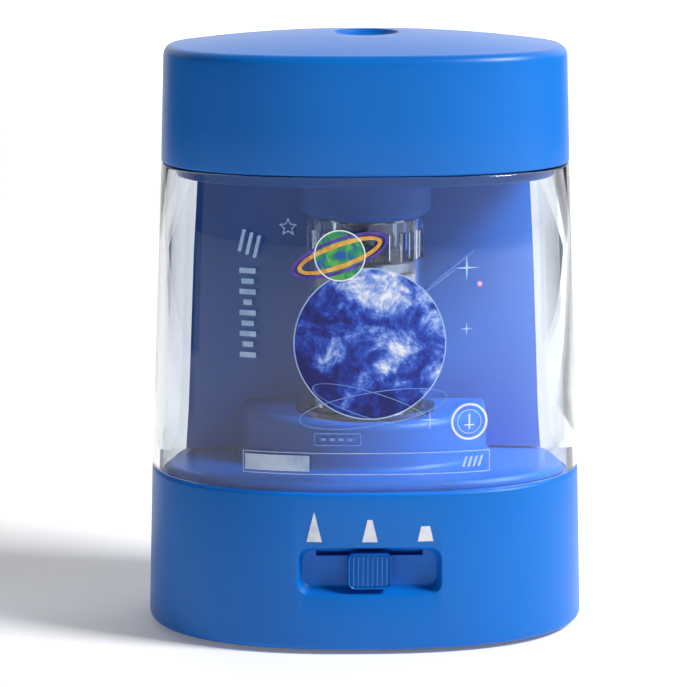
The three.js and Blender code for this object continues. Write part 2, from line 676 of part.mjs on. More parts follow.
const cage = cut(cageOuter, bar(CAGE_BORE_R + 0.05, 30, 90, 0, AXIS_Y, 36), ...windows);
add('guard_cage', cage, CLEAR, 0.08, 0, 0.35);

const ringPitch = (RING_TEETH * FINE_MODULE) / 2;
const ringSteps = [
  [ringPitch + 0.5, -0.3], [ringPitch - 0.25, -0.13], [ringPitch - 0.25, 0.13], [ringPitch + 0.5, 0.3],
];
const ringOutline = toothRing(RING_TEETH, Math.PI / RING_TEETH, ringSteps)
  .map(([x, y]) => [x, y + AXIS_Y]);
const ringGear = cut(
  bar(CAGE_BORE_R - 0.08, Z_RING[0], Z_RING[1], 0, AXIS_Y, 36),
  prism(ringOutline, Z_RING[0] - 1, Z_RING[1] + 1),
);
add('ring_gear', ringGear, WHITE, SATIN);

// ---- cutter carrier: hollow shaft, drive gear, frame, cutter pin --------------------------
const SHAFT_R = 3.2;
const STOP_BORE_R = 1.4;
const Z_FRAME = [41.0, 43.0];
const Z_SHAFT_TOP = 42.1;
const shaft = cut(
  bar(SHAFT_R, 26.4, Z_SHAFT_TOP, 0, AXIS_Y, 24),
  bar(STOP_BORE_R, 20, 50, 0, AXIS_Y, 20),
);
add('carrier_shaft', shaft, STEEL, 0.3, 1);

const toCompound = Math.atan2(COMPOUND_Y - AXIS_Y, COMPOUND_X);
const driveGear = cut(
  gear(DRIVE_TEETH, DRIVE_MODULE, toCompound, 29.6, 34.4, 0, AXIS_Y),
  bar(SHAFT_R + 0.1, 20, 40, 0, AXIS_Y, 24),
  cut(bar(8.2, 33.4, 40, 0, AXIS_Y, 32), bar(4.8, 30, 41, 0, AXIS_Y, 24)),
);
add('drive_gear', driveGear, WHITE, SATIN);

// line of the cutter: leans outwards in the XZ plane as it rises
const cutterX = (z) => PINION_OFFSET + (z - Z_PINION_MID) * Math.tan(CUTTER_TILT);
function leaning(geometry, z) {
  geometry.rotateX(Math.PI / 2);
  geometry.rotateY(CUTTER_TILT);
  geometry.translate(cutterX(z), AXIS_Y, z);
  return solid(geometry);
}
const PIN_R = 0.8;
const Z_TOP_RING = [67.1, 68.7];
const pinLength = 26.0;
const Z_PIN_MID = 55.35;
const PIN_CLEAR = 0.06;
const rod = (r, length) => new THREE.CylinderGeometry(r, r, length, 16);
const cutterPin = leaning(rod(PIN_R, pinLength), Z_PIN_MID);
const pinHole = leaning(rod(PIN_R + PIN_CLEAR, pinLength + 0.4), Z_PIN_MID);
const pillar = cut(
  bar(8.1, Z_FRAME[1] - 0.5, Z_TOP_RING[0] + 0.5, 0, AXIS_Y, 40),
  bar(6.5, 0, FAR * 2, 0, AXIS_Y, 40),
);
const pillarSpans = [1, -1].map((s) => {
  const wedge = [[0, AXIS_Y], [6, AXIS_Y + s * 14], [-9, AXIS_Y + s * 12]];
  return pillar.intersect(prism(s > 0 ? wedge : wedge.reverse(), 0, FAR * 2));
});
const frameFoot = bar(9.0, Z_FRAME[0], Z_FRAME[1], 0, AXIS_Y, 40);
const frameRing = bar(9.1, Z_TOP_RING[0], Z_TOP_RING[1], 0, AXIS_Y, 40);
const lug = leaning(rod(1.9, 2.2), 43.4);
const frame = cut(
  join(frameFoot, frameRing, ...pillarSpans, lug),
  bar(SHAFT_R + 0.1, 30, Z_SHAFT_TOP + 0.1, 0, AXIS_Y, 24),
  bar(1.4, 40, 46, 0, AXIS_Y, 16),
  bar(4.7, 60, 80, 0, AXIS_Y, 32),
  pinHole,
);
add('cutter_frame', frame, STEEL, 0.4, 1);
add('cutter_pin', cutterPin, STEEL, 0.25, 1);

// ---- helical cutter and its pinion --------------------------------------------------------
const FLUTES = 12;
const CUTTER_LAYERS = 10;
const CUTTER_LENGTH = 17.8;
const CUTTER_TWIST = Math.PI * 0.75;
const cutterRings = [];
for (let k = 0; k <= CUTTER_LAYERS; k += 1) {
  const along = k / CUTTER_LAYERS;
  const ring = [];
  for (let i = 0; i < FLUTES * 2; i += 1) {
    const r = i % 2 === 0 ? CUTTER_R : CUTTER_R - 0.55;
    const t = ((i + (i % 2) * -0.35) / (FLUTES * 2)) * Math.PI * 2 + along * CUTTER_TWIST;
    ring.push(new THREE.Vector3(r * Math.cos(t), r * Math.sin(t), (along - 0.5) * CUTTER_LENGTH));
  }
  cutterRings.push(ring);
}
const Z_CUTTER_MID = 54.1;
const tiltDeg = THREE.MathUtils.radToDeg(CUTTER_TILT);
const cutterBody = cut(loft(cutterRings), bar(PIN_R + 0.07, -20, 20, 0, 0, 16))
  .rotate([0, tiltDeg, 0])
  .translate([cutterX(Z_CUTTER_MID), AXIS_Y, Z_CUTTER_MID]);
add('cutter', cutterBody, TOOL_STEEL, 0.3, 1);

const pinionPitch = (CUTTER_PINION_TEETH * FINE_MODULE) / 2;
const pinionOutline = toothRing(CUTTER_PINION_TEETH, 0, [
  [pinionPitch - 0.55, -0.26], [pinionPitch + 0.25, -0.12],
  [pinionPitch + 0.25, 0.12], [pinionPitch - 0.55, 0.26],
]);
const cutterPinion = cut(prism(pinionOutline, -1.0, 1.0), bar(PIN_R + 0.07, -9, 9, 0, 0, 16))
  .rotate([0, tiltDeg, 0])
  .translate([cutterX(Z_PINION_MID), AXIS_Y, Z_PINION_MID]);
add('cutter_pinion', cutterPinion, BRASS, 0.35, 1);

// ---- compound gear, its axle, bearings ----------------------------------------------------
const toMotor = Math.atan2(MOTOR_Y - COMPOUND_Y, -COMPOUND_X);
const compound = cut(
  join(
    gear(COMPOUND_LARGE_TEETH, MOTOR_MODULE, toMotor, 22.4, 26.4, COMPOUND_X, COMPOUND_Y),
    bar(2.3, 26, 30, COMPOUND_X, COMPOUND_Y, 20),
    gear(
      COMPOUND_SMALL_TEETH, DRIVE_MODULE, toCompound + Math.PI + Math.PI / COMPOUND_SMALL_TEETH,
      29, 34.5, COMPOUND_X, COMPOUND_Y,
    ),
  ),
  bar(AXLE_R + 0.07, 10, 50, COMPOUND_X, COMPOUND_Y, 16),
);
add('compound_gear', compound, WHITE, SATIN);
add('gear_axle', bar(AXLE_R, 19.8, 36.0, COMPOUND_X, COMPOUND_Y, 16), STEEL, 0.25, 1);

const bearingPlate = cut(
  join(box(-18, 18, AXIS_Y - 5, AXIS_Y + 5, 27.0, 28.4), bar(7, 27.0, 28.4, 0, AXIS_Y, 24)),
  bar(SHAFT_R + 0.08, 20, 30, 0, AXIS_Y, 24),
  ...[-1, 1].map((s) => bar(1.2, 20, 30, s * POST_X, AXIS_Y, 12)),
);
add('bearing_plate', bearingPlate, STEEL, 0.4, 1);
[-1, 1].forEach((s, i) => {
  const screw = turn(
    [[0, 25.6], [1.6, 25.6], [2.0, 26.0], [2.0, 26.8], [0.8, 26.9], [0.8, 33.6], [0, 34.4]],
    s * POST_X, AXIS_Y, 16,
  );
  add(`bearing_screw_${i + 1}`, screw, STEEL, 0.35, 1);
});
const bush = cut(
  turn([[0, 36.6], [6.4, 36.6], [6.4, 38.0], [5.0, 38.1], [5.0, 40.4], [0, 40.4]], 0, AXIS_Y, 28),
  bar(SHAFT_R + 0.07, 30, 45, 0, AXIS_Y, 24),
);
add('shaft_bush', bush, BRASS, 0.35, 1);

// ---- motor with its bracket ---------------------------------------------------------------
const Z_MOTOR = [36.5, 61.0];
const flats = (h) => box(-20, 20, MOTOR_Y - h, MOTOR_Y + h, 0, 120);
const can = bar(MOTOR_R, Z_MOTOR[0], Z_MOTOR[1], 0, MOTOR_Y, 28).intersect(flats(MOTOR_HALF_FLAT));
const canBores = [bar(3.2, 30, 37.3, 0, MOTOR_Y, 20), bar(1.2, 30, 60, 0, MOTOR_Y, 16)];
add('motor_can', cut(can, ...canBores), STEEL, 0.3, 1);
const endBell = join(
  bar(MOTOR_R - 0.3, Z_MOTOR[1] + 0.2, 63.2, 0, MOTOR_Y, 32).intersect(flats(MOTOR_HALF_FLAT - 0.2)),
  bar(3.2, 63.0, 64.6, 0, MOTOR_Y, 20),
);
add('motor_end_bell', endBell, BLACK, SATIN);
add('motor_shaft', bar(0.98, 21.6, 59, 0, MOTOR_Y, 16), STEEL, 0.2, 1);
const motorPhase = toMotor + Math.PI + Math.PI / MOTOR_PINION_TEETH;
const motorPinion = cut(
  gear(MOTOR_PINION_TEETH, MOTOR_MODULE, motorPhase, 22.2, 26.8, 0, MOTOR_Y),
  bar(1.02, 10, 40, 0, MOTOR_Y, 16),
);
add('motor_pinion', motorPinion, BRASS, 0.35, 1);
const Z_BRACKET = [34.9, 36.1];
const bracket = cut(
  join(
    box(-11.5, 11.5, PANEL_Y + 1.8, 23.6, ...Z_BRACKET),
    box(COMPOUND_X - 3, COMPOUND_X + 3, COMPOUND_Y - 3, PANEL_Y + 3, ...Z_BRACKET),
  ),
  bar(1.6, 30, 40, 0, MOTOR_Y, 16),
  bar(AXLE_R + 0.05, 30, 40, COMPOUND_X, COMPOUND_Y, 16),
);
add('motor_bracket', bracket.intersect(housingInner), STEEL, 0.4, 1);

// ---- stop pin, selector slide and button --------------------------------------------------
const STOP_R = 0.9;
const Z_STOP_TIP = 45.0;
const footR = 1.5;
const zFootCentre = Z_WEDGE_MID + (footR + 0.06) / Math.cos(Math.atan(WEDGE_SLOPE));
const stopProfile = [[0, zFootCentre - footR]];
for (let i = 1; i <= 4; i += 1) {
  const t = (i / 4) * (Math.PI / 2);
  stopProfile.push([footR * Math.sin(t), zFootCentre - footR * Math.cos(t)]);
}
stopProfile.push([footR, zFootCentre + 0.6], [STOP_R, zFootCentre + 1.1]);
stopProfile.push([STOP_R, Z_STOP_TIP - 0.8], [0.45, Z_STOP_TIP], [0, Z_STOP_TIP]);
add('stop_pin', turn(stopProfile, 0, AXIS_Y, 20), STEEL, 0.25, 1);

const WEDGE_HALF_L = 11.4;
const WEDGE_HALF_W = 2.7;
const Z_WEDGE_UNDER = 18.75;
const wedgeShape = new THREE.Shape([
  new THREE.Vector2(-WEDGE_HALF_L, Z_WEDGE_UNDER),
  new THREE.Vector2(WEDGE_HALF_L, Z_WEDGE_UNDER),
  new THREE.Vector2(WEDGE_HALF_L, Z_WEDGE_MID - WEDGE_SLOPE * WEDGE_HALF_L),
  new THREE.Vector2(-WEDGE_HALF_L, Z_WEDGE_MID + WEDGE_SLOPE * WEDGE_HALF_L),
]);
const wedgeGeometry = new THREE.ExtrudeGeometry(wedgeShape, {
  depth: WEDGE_HALF_W * 2,
  bevelEnabled: false,
  steps: 1,
});
wedgeGeometry.rotateX(Math.PI / 2);
wedgeGeometry.translate(0, AXIS_Y + WEDGE_HALF_W, 0);
const SLIDE_HALF_L = 11.6; // long enough to close the stem slot behind the recess at rest
const SLIDE_T = 1.4;
const Z_SLIDE_TOP = 20.1;
const slideBack = RECESS_FLOOR_Y + BACKING_THICKNESS + FIT_GAP;
const selectorSlide = join(
  box(-SLIDE_HALF_L, SLIDE_HALF_L, slideBack, slideBack + SLIDE_T, RECESS_Z - 2, Z_SLIDE_TOP),
  box(-3.5, 3.5, slideBack + 0.7, AXIS_Y - 1.5, 18.9, Z_SLIDE_TOP),
  solid(wedgeGeometry),
  box(-STEM_HALF_L, STEM_HALF_L, RECESS_FLOOR_Y - 0.2, slideBack + 0.5, STEM_Z[0], STEM_Z[1]),
);
add('selector_slide', selectorSlide, DEEP_BLUE, SATIN);

const BUTTON_HALF_L = 3.85;
const BUTTON_HALF_H = 3.3;
const BUTTON_CORNER_R = 1.2;
const BUTTON_FRONT = -30.15;
const buttonBody = loft([
  slotRing(RECESS_FLOOR_Y - 0.4, BUTTON_HALF_L, BUTTON_HALF_H, BUTTON_CORNER_R, RECESS_Z),
  slotRing(BUTTON_FRONT + 0.3, BUTTON_HALF_L, BUTTON_HALF_H, BUTTON_CORNER_R, RECESS_Z),
  slotRing(BUTTON_FRONT, BUTTON_HALF_L - 0.3, BUTTON_HALF_H - 0.3, BUTTON_CORNER_R - 0.3, RECESS_Z),
]);
const RIBS = 8;
const RIB_PITCH = 0.86;
const GROOVE_HALF_W = 0.2;
const GROOVE_HALF_H = 2.8;
const GROOVE_DEPTH = 0.55;
const grooves = [];
for (let i = 0; i < RIBS - 1; i += 1) {
  const x = (i - (RIBS - 2) / 2) * RIB_PITCH;
  grooves.push(box(
    x - GROOVE_HALF_W, x + GROOVE_HALF_W, BUTTON_FRONT - 1, BUTTON_FRONT + GROOVE_DEPTH,
    RECESS_Z - GROOVE_HALF_H, RECESS_Z + GROOVE_HALF_H,
  ));
}
add('selector_button', cut(buttonBody, ...grooves), BLUE, GLOSS);

// ---- start plunger and switch -------------------------------------------------------------
const noseY = AXIS_Y + 2.6;
const PLUNGER_TAIL_Y = 16.9;
const plungerShape = new THREE.Shape([
  new THREE.Vector2(noseY, PLUNGER_Z[0]),
  new THREE.Vector2(PLUNGER_TAIL_Y, PLUNGER_Z[0]),
  new THREE.Vector2(PLUNGER_TAIL_Y, PLUNGER_Z[1]),
  new THREE.Vector2(noseY + 2.6, PLUNGER_Z[1]),
  new THREE.Vector2(noseY, PLUNGER_Z[0] + 1.2),
]);
const plungerGeometry = new THREE.ExtrudeGeometry(plungerShape, {
  depth: PLUNGER_HALF_W * 2,
  bevelEnabled: false,
  steps: 1,
});
// profile is drawn in (Y, Z) and pushed along X
plungerGeometry.rotateX(Math.PI / 2);
plungerGeometry.rotateZ(Math.PI / 2);
plungerGeometry.translate(-PLUNGER_HALF_W, 0, 0);
const flangeY = PANEL_Y + HOUSING_WALL + 0.1;
const flange = box(-3.6, 3.6, flangeY, flangeY + 1.2, 76.4, 82.4);
add('start_plunger', join(solid(plungerGeometry), flange), WHITE, SATIN);
const switchBody = join(box(-6.4, 6.4, 19.6, 23.2, 75.0, 81.9), box(-1, 1, 19.35, 20, 79.2, 80.2));
add('start_switch', switchBody.intersect(housingInner), BLACK, SATIN);

export default group;
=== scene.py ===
# %% [markdown]
# # Pencil sharpener with a clear shavings barrel
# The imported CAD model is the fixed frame. The big oval mouldings are made again here with many
# more points, because a 48 sided wall shows its corners under soft light; gears, screws, cells
# and shafts stay as the CAD nodes and get finishes. Pieces are typed in millimetres, and the
# stage, the lamp and the camera in metres.

import json
import math

import bmesh
import bpy
from mathutils import Matrix, Vector


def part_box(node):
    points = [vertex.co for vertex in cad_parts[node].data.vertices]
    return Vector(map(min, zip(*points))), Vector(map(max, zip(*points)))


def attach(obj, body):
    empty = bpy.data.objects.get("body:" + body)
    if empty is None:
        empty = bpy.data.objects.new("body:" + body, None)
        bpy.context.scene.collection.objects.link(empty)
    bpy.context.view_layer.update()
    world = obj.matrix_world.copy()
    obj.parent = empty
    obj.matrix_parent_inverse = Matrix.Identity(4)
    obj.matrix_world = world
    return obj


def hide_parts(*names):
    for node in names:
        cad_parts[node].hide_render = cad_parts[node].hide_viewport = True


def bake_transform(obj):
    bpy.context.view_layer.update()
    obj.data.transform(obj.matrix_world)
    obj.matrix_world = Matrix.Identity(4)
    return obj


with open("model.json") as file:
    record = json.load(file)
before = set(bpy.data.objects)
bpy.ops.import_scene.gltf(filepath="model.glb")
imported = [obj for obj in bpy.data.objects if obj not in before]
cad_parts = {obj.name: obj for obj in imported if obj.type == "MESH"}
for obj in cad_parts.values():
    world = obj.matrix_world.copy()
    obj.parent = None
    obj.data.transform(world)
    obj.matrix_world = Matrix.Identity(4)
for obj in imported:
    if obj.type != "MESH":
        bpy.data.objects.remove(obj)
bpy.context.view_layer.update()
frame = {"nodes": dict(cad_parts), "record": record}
nodes = frame["nodes"]

# %% [markdown]
# ## Colours and node wiring
# Colours are written as the sRGB hex a colour picker shows. Blender works in linear light, so
# one function converts them. Another adds one node with its settings and links, which keeps each
# material readable as a short recipe.


# %% Colour and node helpers
def linear(hex_colour, alpha=1.0):
    channels = [int(hex_colour[i : i + 2], 16) / 255 for i in (1, 3, 5)]
    return [c / 12.92 if c <= 0.04045 else ((c + 0.055) / 1.055) ** 2.4 for c in channels] + [alpha]


def add_node(tree, kind, settings=None, **links):
    node = tree.nodes.new(kind)
    for key, value in (settings or {}).items():
        if key in node.inputs:
            node.inputs[key].default_value = value
        else:
            setattr(node, key, value)
    for key, source in links.items():
        tree.links.new(source, node.inputs[key.replace("_", " ")])
    return node


def new_material(name, **surface):
    material = bpy.data.materials.new(name)
    material.use_nodes = True
    tree = material.node_tree
    shader = tree.nodes["Principled BSDF"]
    for key, value in surface.items():
        shader.inputs[key.replace("_", " ")].default_value = value
    where = tree.nodes.new("ShaderNodeTexCoord").outputs["Object"]
    return material, tree, shader, where


def grain_scale(size_mm):
    """Noise scale whose cells are about size_mm across on Object coordinates in metres."""
    return 1000.0 / size_mm


# %% [markdown]
# ## Moulded plastics
# The blue case is injection moulded ABS: one deep colour, a satin gloss from a lightly polished
# mould, and a faint orange peel where the skin cooled. The peel is a very weak bump of about
# 1.5 mm, with a finer grain in the roughness. The black base plate has a spark eroded texture,
# and the gears are white acetal, a waxy plastic with a softer gloss than the case.


# %% Plastic materials
def moulded(name, colour, darker, roughness, peel_mm, peel_depth, grain_mm=0.25):
    material, tree, shader, where = new_material(
        name, Roughness=roughness, IOR=1.53, Specular_IOR_Level=0.28
    )
    cloud = add_node(
        tree, "ShaderNodeTexNoise", {"Scale": grain_scale(18), "Detail": 3.0}, Vector=where
    )
    tint = add_node(tree, "ShaderNodeMix", {"data_type": "RGBA"})
    tint.inputs[6].default_value = linear(darker)
    tint.inputs[7].default_value = linear(colour)
    tree.links.new(cloud.outputs["Fac"], tint.inputs[0])
    tree.links.new(tint.outputs[2], shader.inputs["Base Color"])
    grain = add_node(
        tree, "ShaderNodeTexNoise", {"Scale": grain_scale(grain_mm), "Detail": 2.0}, Vector=where
    )
    spread = add_node(
        tree,
        "ShaderNodeMapRange",
        {"From Min": 0.3, "From Max": 0.7, "To Min": roughness - 0.04, "To Max": roughness + 0.05},
        Value=grain.outputs["Fac"],
    )
    tree.links.new(spread.outputs["Result"], shader.inputs["Roughness"])
    peel = add_node(
        tree, "ShaderNodeTexNoise", {"Scale": grain_scale(peel_mm), "Detail": 2.0}, Vector=where
    )
    bump = add_node(
        tree,
        "ShaderNodeBump",
        {"Strength": 0.35, "Distance": peel_depth / 1000},
        Height=peel.outputs["Fac"],
    )
    tree.links.new(bump.outputs["Normal"], shader.inputs["Normal"])
    return material


blue_abs = moulded("blue_abs_satin", "#0470ce", "#036bc6", 0.36, 1.5, 0.012)
inner_blue_abs = moulded("blue_abs_chamber", "#046ac8", "#0363bf", 0.38, 1.5, 0.012)
black_abs = moulded("black_abs_spark_eroded", "#1d1f22", "#16181a", 0.55, 0.5, 0.05)
white_acetal = moulded("white_acetal", "#e6e3da", "#dcd9cf", 0.42, 0.8, 0.008)
black_rubber = moulded("black_rubber", "#26272a", "#1e1f22", 0.82, 0.6, 0.04)
print("plastics ready")

# %% [markdown]
# ## Clear plastic
# The barrel and the guard are clear mouldings with almost no roughness. They are taken as acrylic,
# IOR 1.49; the true grade isn't known, and polystyrene would be 1.59. A refracting shader blocks
# lamp light in a path tracer, so a Mix Shader lets lamp rays through as Transparent and everything
# else sees the true plastic. A faint ripple from the mould breaks up the reflections.


# %% Clear material
def clear_plastic(name, tint, ripple_mm, roughness):
    material, tree, shader, where = new_material(
        name,
        Base_Color=linear(tint),
        Roughness=roughness,
        IOR=1.49,
        Transmission_Weight=1.0,
    )
    ripple = add_node(
        tree, "ShaderNodeTexNoise", {"Scale": grain_scale(ripple_mm), "Detail": 1.0}, Vector=where
    )
    bump = add_node(
        tree, "ShaderNodeBump", {"Strength": 0.2, "Distance": 0.00002}, Height=ripple.outputs["Fac"]
    )
    tree.links.new(bump.outputs["Normal"], shader.inputs["Normal"])
    lamp_path = tree.nodes.new("ShaderNodeLightPath")
    open_way = add_node(tree, "ShaderNodeBsdfTransparent", {"Color": linear("#dde3ec")})
    mix = tree.nodes.new("ShaderNodeMixShader")
    tree.links.new(lamp_path.outputs["Is Shadow Ray"], mix.inputs[0])
    tree.links.new(shader.outputs[0], mix.inputs[1])
    tree.links.new(open_way.outputs[0], mix.inputs[2])
    tree.links.new(mix.outputs[0], tree.nodes["Material Output"].inputs["Surface"])
    return material


clear_barrel = clear_plastic("clear_acrylic", "#eef2f7", 14.0, 0.01)
clear_guard = clear_plastic("clear_guard_acrylic", "#e9f1fb", 5.0, 0.05)
print("clear plastics ready")

# %% [markdown]
# ## Metals and small trades
# Shafts and screws are turned steel with fine rings round them, the motor can is drawn steel,
# pinions and the bush are brass. Metal keeps the default IOR. The rings are a Wave texture, and
# wear is a soft noise in the roughness.


# %% Metals, board and cell jacket
def turned_metal(name, colour, roughness, ring_mm):
    material, tree, shader, where = new_material(
        name, Base_Color=linear(colour), Metallic=1.0, Roughness=roughness
    )
    rings = add_node(
        tree,
        "ShaderNodeTexWave",
        {"bands_direction": "Z", "Scale": 1000.0 / (ring_mm * 6.283), "Distortion": 0.6},
        Vector=where,
    )
    smear = add_node(
        tree, "ShaderNodeTexNoise", {"Scale": grain_scale(2.5), "Detail": 4.0}, Vector=where
    )
    dull = add_node(
        tree,
        "ShaderNodeMapRange",
        {"To Min": roughness - 0.06, "To Max": roughness + 0.14},
        Value=smear.outputs["Fac"],
    )
    tree.links.new(dull.outputs["Result"], shader.inputs["Roughness"])
    bump = add_node(
        tree, "ShaderNodeBump", {"Strength": 0.3, "Distance": 0.00002}, Height=rings.outputs["Fac"]
    )
    tree.links.new(bump.outputs["Normal"], shader.inputs["Normal"])
    return material


steel = turned_metal("turned_steel", "#b9bec4", 0.28, 0.5)
tool_steel = turned_metal("ground_tool_steel", "#8d9298", 0.26, 0.4)
brass = turned_metal("turned_brass", "#c9a352", 0.30, 0.5)
board_green = moulded("green_solder_mask", "#1c6a40", "#185c37", 0.35, 2.0, 0.02)
cell_jacket = moulded("cell_sleeve_grey", "#70757c", "#666b72", 0.32, 3.0, 0.01)
print("metals ready")

# %% [markdown]
# ## The oval section
# Every big moulding has the same rounded oval plan: a superellipse, fuller than an ellipse and
# softer than a rectangle. One function gives the half width at a height, and a skin is grown
# from a circle by extruding its edge from station to station, each station being a height and
# how far the wall is pulled in there.

# %% Oval skins
PLAN_POWER = 2.42
DEPTH_DROP = 10.0
POINTS = 160
BASE_FOOT, BASE_TOP, BASE_WALL = 0.7, 29.68, 2.0
BARREL_FOOT, BARREL_TOP, BARREL_WALL = 29.98, 86.84, 2.2
CAP_FOOT, CAP_EDGE, CAP_WALL = 87.08, 108.45, 2.0
WIDTHS = [(0.0, 41.0), (29.83, 40.17), (86.96, 37.94), (CAP_EDGE, 37.33)]  # height, half width
AXIS_Y = -3.2  # the pencil and cutter stand on this line
PANEL_Y = 8.0  # front of the rear housing
BORE_R = 4.4  # an 8 mm pencil with room to turn


def half_width(z):
    for (z0, w0), (z1, w1) in zip(WIDTHS, WIDTHS[1:]):
        if z <= z1 or z1 == WIDTHS[-1][0]:
            return w0 + (w1 - w0) * (z - z0) / (z1 - z0)


def oval_at(angle, z, inset_x, inset_y, scale=1.0, rise=0.0):
    a = (half_width(z) - inset_x) * scale
    b = (half_width(z) - DEPTH_DROP - inset_y) * scale
    c, s = math.cos(angle), math.sin(angle)
    x = math.copysign(a * abs(c) ** (2 / PLAN_POWER), c)
    y = math.copysign(b * abs(s) ** (2 / PLAN_POWER), s)
    return Vector((x, y, z + rise))


def front_y(x, z):
    a = half_width(z)
    return -(a - DEPTH_DROP) * (1 - (abs(x) / a) ** PLAN_POWER) ** (1 / PLAN_POWER)


def grow_skin(stations, ending):
    """stations: (z, inset_x, inset_y[, scale, rise]); ending is 'loop' or 'caps'."""
    bm = bmesh.new()
    order = bm.verts.layers.int.new("order")
    bmesh.ops.create_circle(bm, cap_ends=False, radius=1.0, segments=POINTS)
    bm.verts.ensure_lookup_table()
    for i, v in enumerate(bm.verts):
        v[order] = i
    rim = list(bm.edges)
    first = list(rim)
    verts = list(bm.verts)
    for k, station in enumerate(stations):
        if k:
            grown = bmesh.ops.extrude_edge_only(bm, edges=rim)["geom"]
            verts = [g for g in grown if isinstance(g, bmesh.types.BMVert)]
            fresh = set(verts)
            rim = [g for g in grown if isinstance(g, bmesh.types.BMEdge) and set(g.verts) <= fresh]
        for v in verts:
            v.co = oval_at(v[order] * math.tau / POINTS, *station)
    if ending == "loop":
        bmesh.ops.bridge_loops(bm, edges=first + rim)
    else:
        for edges in (first, rim):
            bmesh.ops.edgeloop_fill(bm, edges=edges)
    return bm


def make_piece(bm, name, material, body=None, stands_for=()):
    bmesh.ops.remove_doubles(bm, verts=bm.verts, dist=1e-4)
    bmesh.ops.recalc_face_normals(bm, faces=bm.faces)
    bmesh.ops.scale(bm, vec=(0.001, 0.001, 0.001), verts=bm.verts)
    mesh = bpy.data.meshes.new(name)
    bm.to_mesh(mesh)
    bm.free()
    mesh.materials.append(material)
    piece = bpy.data.objects.new(name, mesh)
    bpy.context.scene.collection.objects.link(piece)
    shade(piece)
    if body:
        dress(piece, body, stands_for)
    return piece


def shade(piece, sharp=32):
    piece.data.shade_smooth()
    piece.data.set_sharp_from_angle(angle=math.radians(sharp))


def dress(piece, body, stands_for=()):
    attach(piece, body)
    if stands_for:
        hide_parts(*stands_for)
    print(piece.name, len(piece.data.polygons), "faces")


def carve(piece, cutters, operation="DIFFERENCE", bevel_mm=0.0, sharp=32):
    """Applies booleans and an optional small edge bevel, so the mesh is final."""
    for cutter in cutters:
        step = piece.modifiers.new("cut", "BOOLEAN")
        step.operation = operation
        step.solver = "MANIFOLD"
        step.object = cutter
    if bevel_mm:
        soften = piece.modifiers.new("soften", "BEVEL")
        soften.width = bevel_mm / 1000
        soften.segments = 2
        soften.limit_method = "ANGLE"
        soften.angle_limit = math.radians(40)
    bpy.context.view_layer.update()
    baked = bpy.data.meshes.new_from_object(piece.evaluated_get(bpy.context.evaluated_depsgraph_get()))
    piece.modifiers.clear()
    piece.data = baked
    while len(baked.materials) > 1:  # the tools' own finish must not come along
        baked.materials.pop()
    for face in baked.polygons:
        face.material_index = 0
    for cutter in cutters:
        bpy.data.objects.remove(cutter)
    shade(piece, sharp)
    return piece


def quarter(z_edge, inset, radius, steps=6, top=True):
    """Stations of a rounded rim: ends at z_edge going up (top) or starts there (foot)."""
    out = []
    for i in range(steps + 1):
        t = i / steps * math.pi / 2
        if top:
            pull = inset + radius * (1 - math.cos(t))
            out.append((z_edge - radius * (1 - math.sin(t)), pull, pull))
        else:
            pull = inset + radius * (1 - math.sin(t))
            out.append((z_edge + radius * (1 - math.cos(t)), pull, pull))
    return out


def block(x0, x1, y0, y1, z0, z1):
    bm = bmesh.new()
    bmesh.ops.create_cube(bm, size=1.0)
    bmesh.ops.scale(bm, vec=(x1 - x0, y1 - y0, z1 - z0), verts=bm.verts)
    bmesh.ops.translate(bm, vec=((x0 + x1) / 2, (y0 + y1) / 2, (z0 + z1) / 2), verts=bm.verts)
    return bm


def spun(profile, x=0.0, y=AXIS_Y, steps=96):
    """Turns a row of (radius, z) points a full circle round the vertical line at x, y."""
    bm = bmesh.new()
    verts = [bm.verts.new((r, 0, z)) for r, z in profile]
    edges = [bm.edges.new(pair) for pair in zip(verts, verts[1:])]
    bmesh.ops.spin(
        bm, geom=verts + edges, cent=(0, 0, 0), axis=(0, 0, 1), angle=math.tau, steps=steps,
        use_merge=True,
    )
    bmesh.ops.remove_doubles(bm, verts=bm.verts, dist=1e-4)
    bmesh.ops.translate(bm, vec=(x, y, 0), verts=bm.verts)
    return bm


def rod(radius, z0, z1, x=0.0, y=AXIS_Y, steps=64):
    return spun([(0, z0), (radius, z0), (radius, z1), (0, z1)], x, y, steps)


def rolled_edge(radius, z_end, roll, top, steps=8):
    """Points (radius, z) of a quarter round, up into a top face or up out of a foot face."""
    points = []
    for i in range(steps + 1):
        t = i / steps * math.pi / 2
        if top:
            points.append((radius - roll * (1 - math.cos(t)), z_end - roll * (1 - math.sin(t))))
        else:
            points.append((radius - roll * (1 - math.sin(t)), z_end + roll * (1 - math.cos(t))))
    return points


def cutter_from(bm):
    return make_piece(bm, "cutter_tool", blue_abs)


# %% [markdown]
# ## Base shell and its recess
# The base is a hollow oval wall with a rounded foot and a small radius under the seam, which is
# the bright lip round its top. The selector recess is a tray cut into the front: a block whose
# back is smaller than its mouth leaves sloping walls that catch the light, and the stem slot
# hides along the top of the tray.

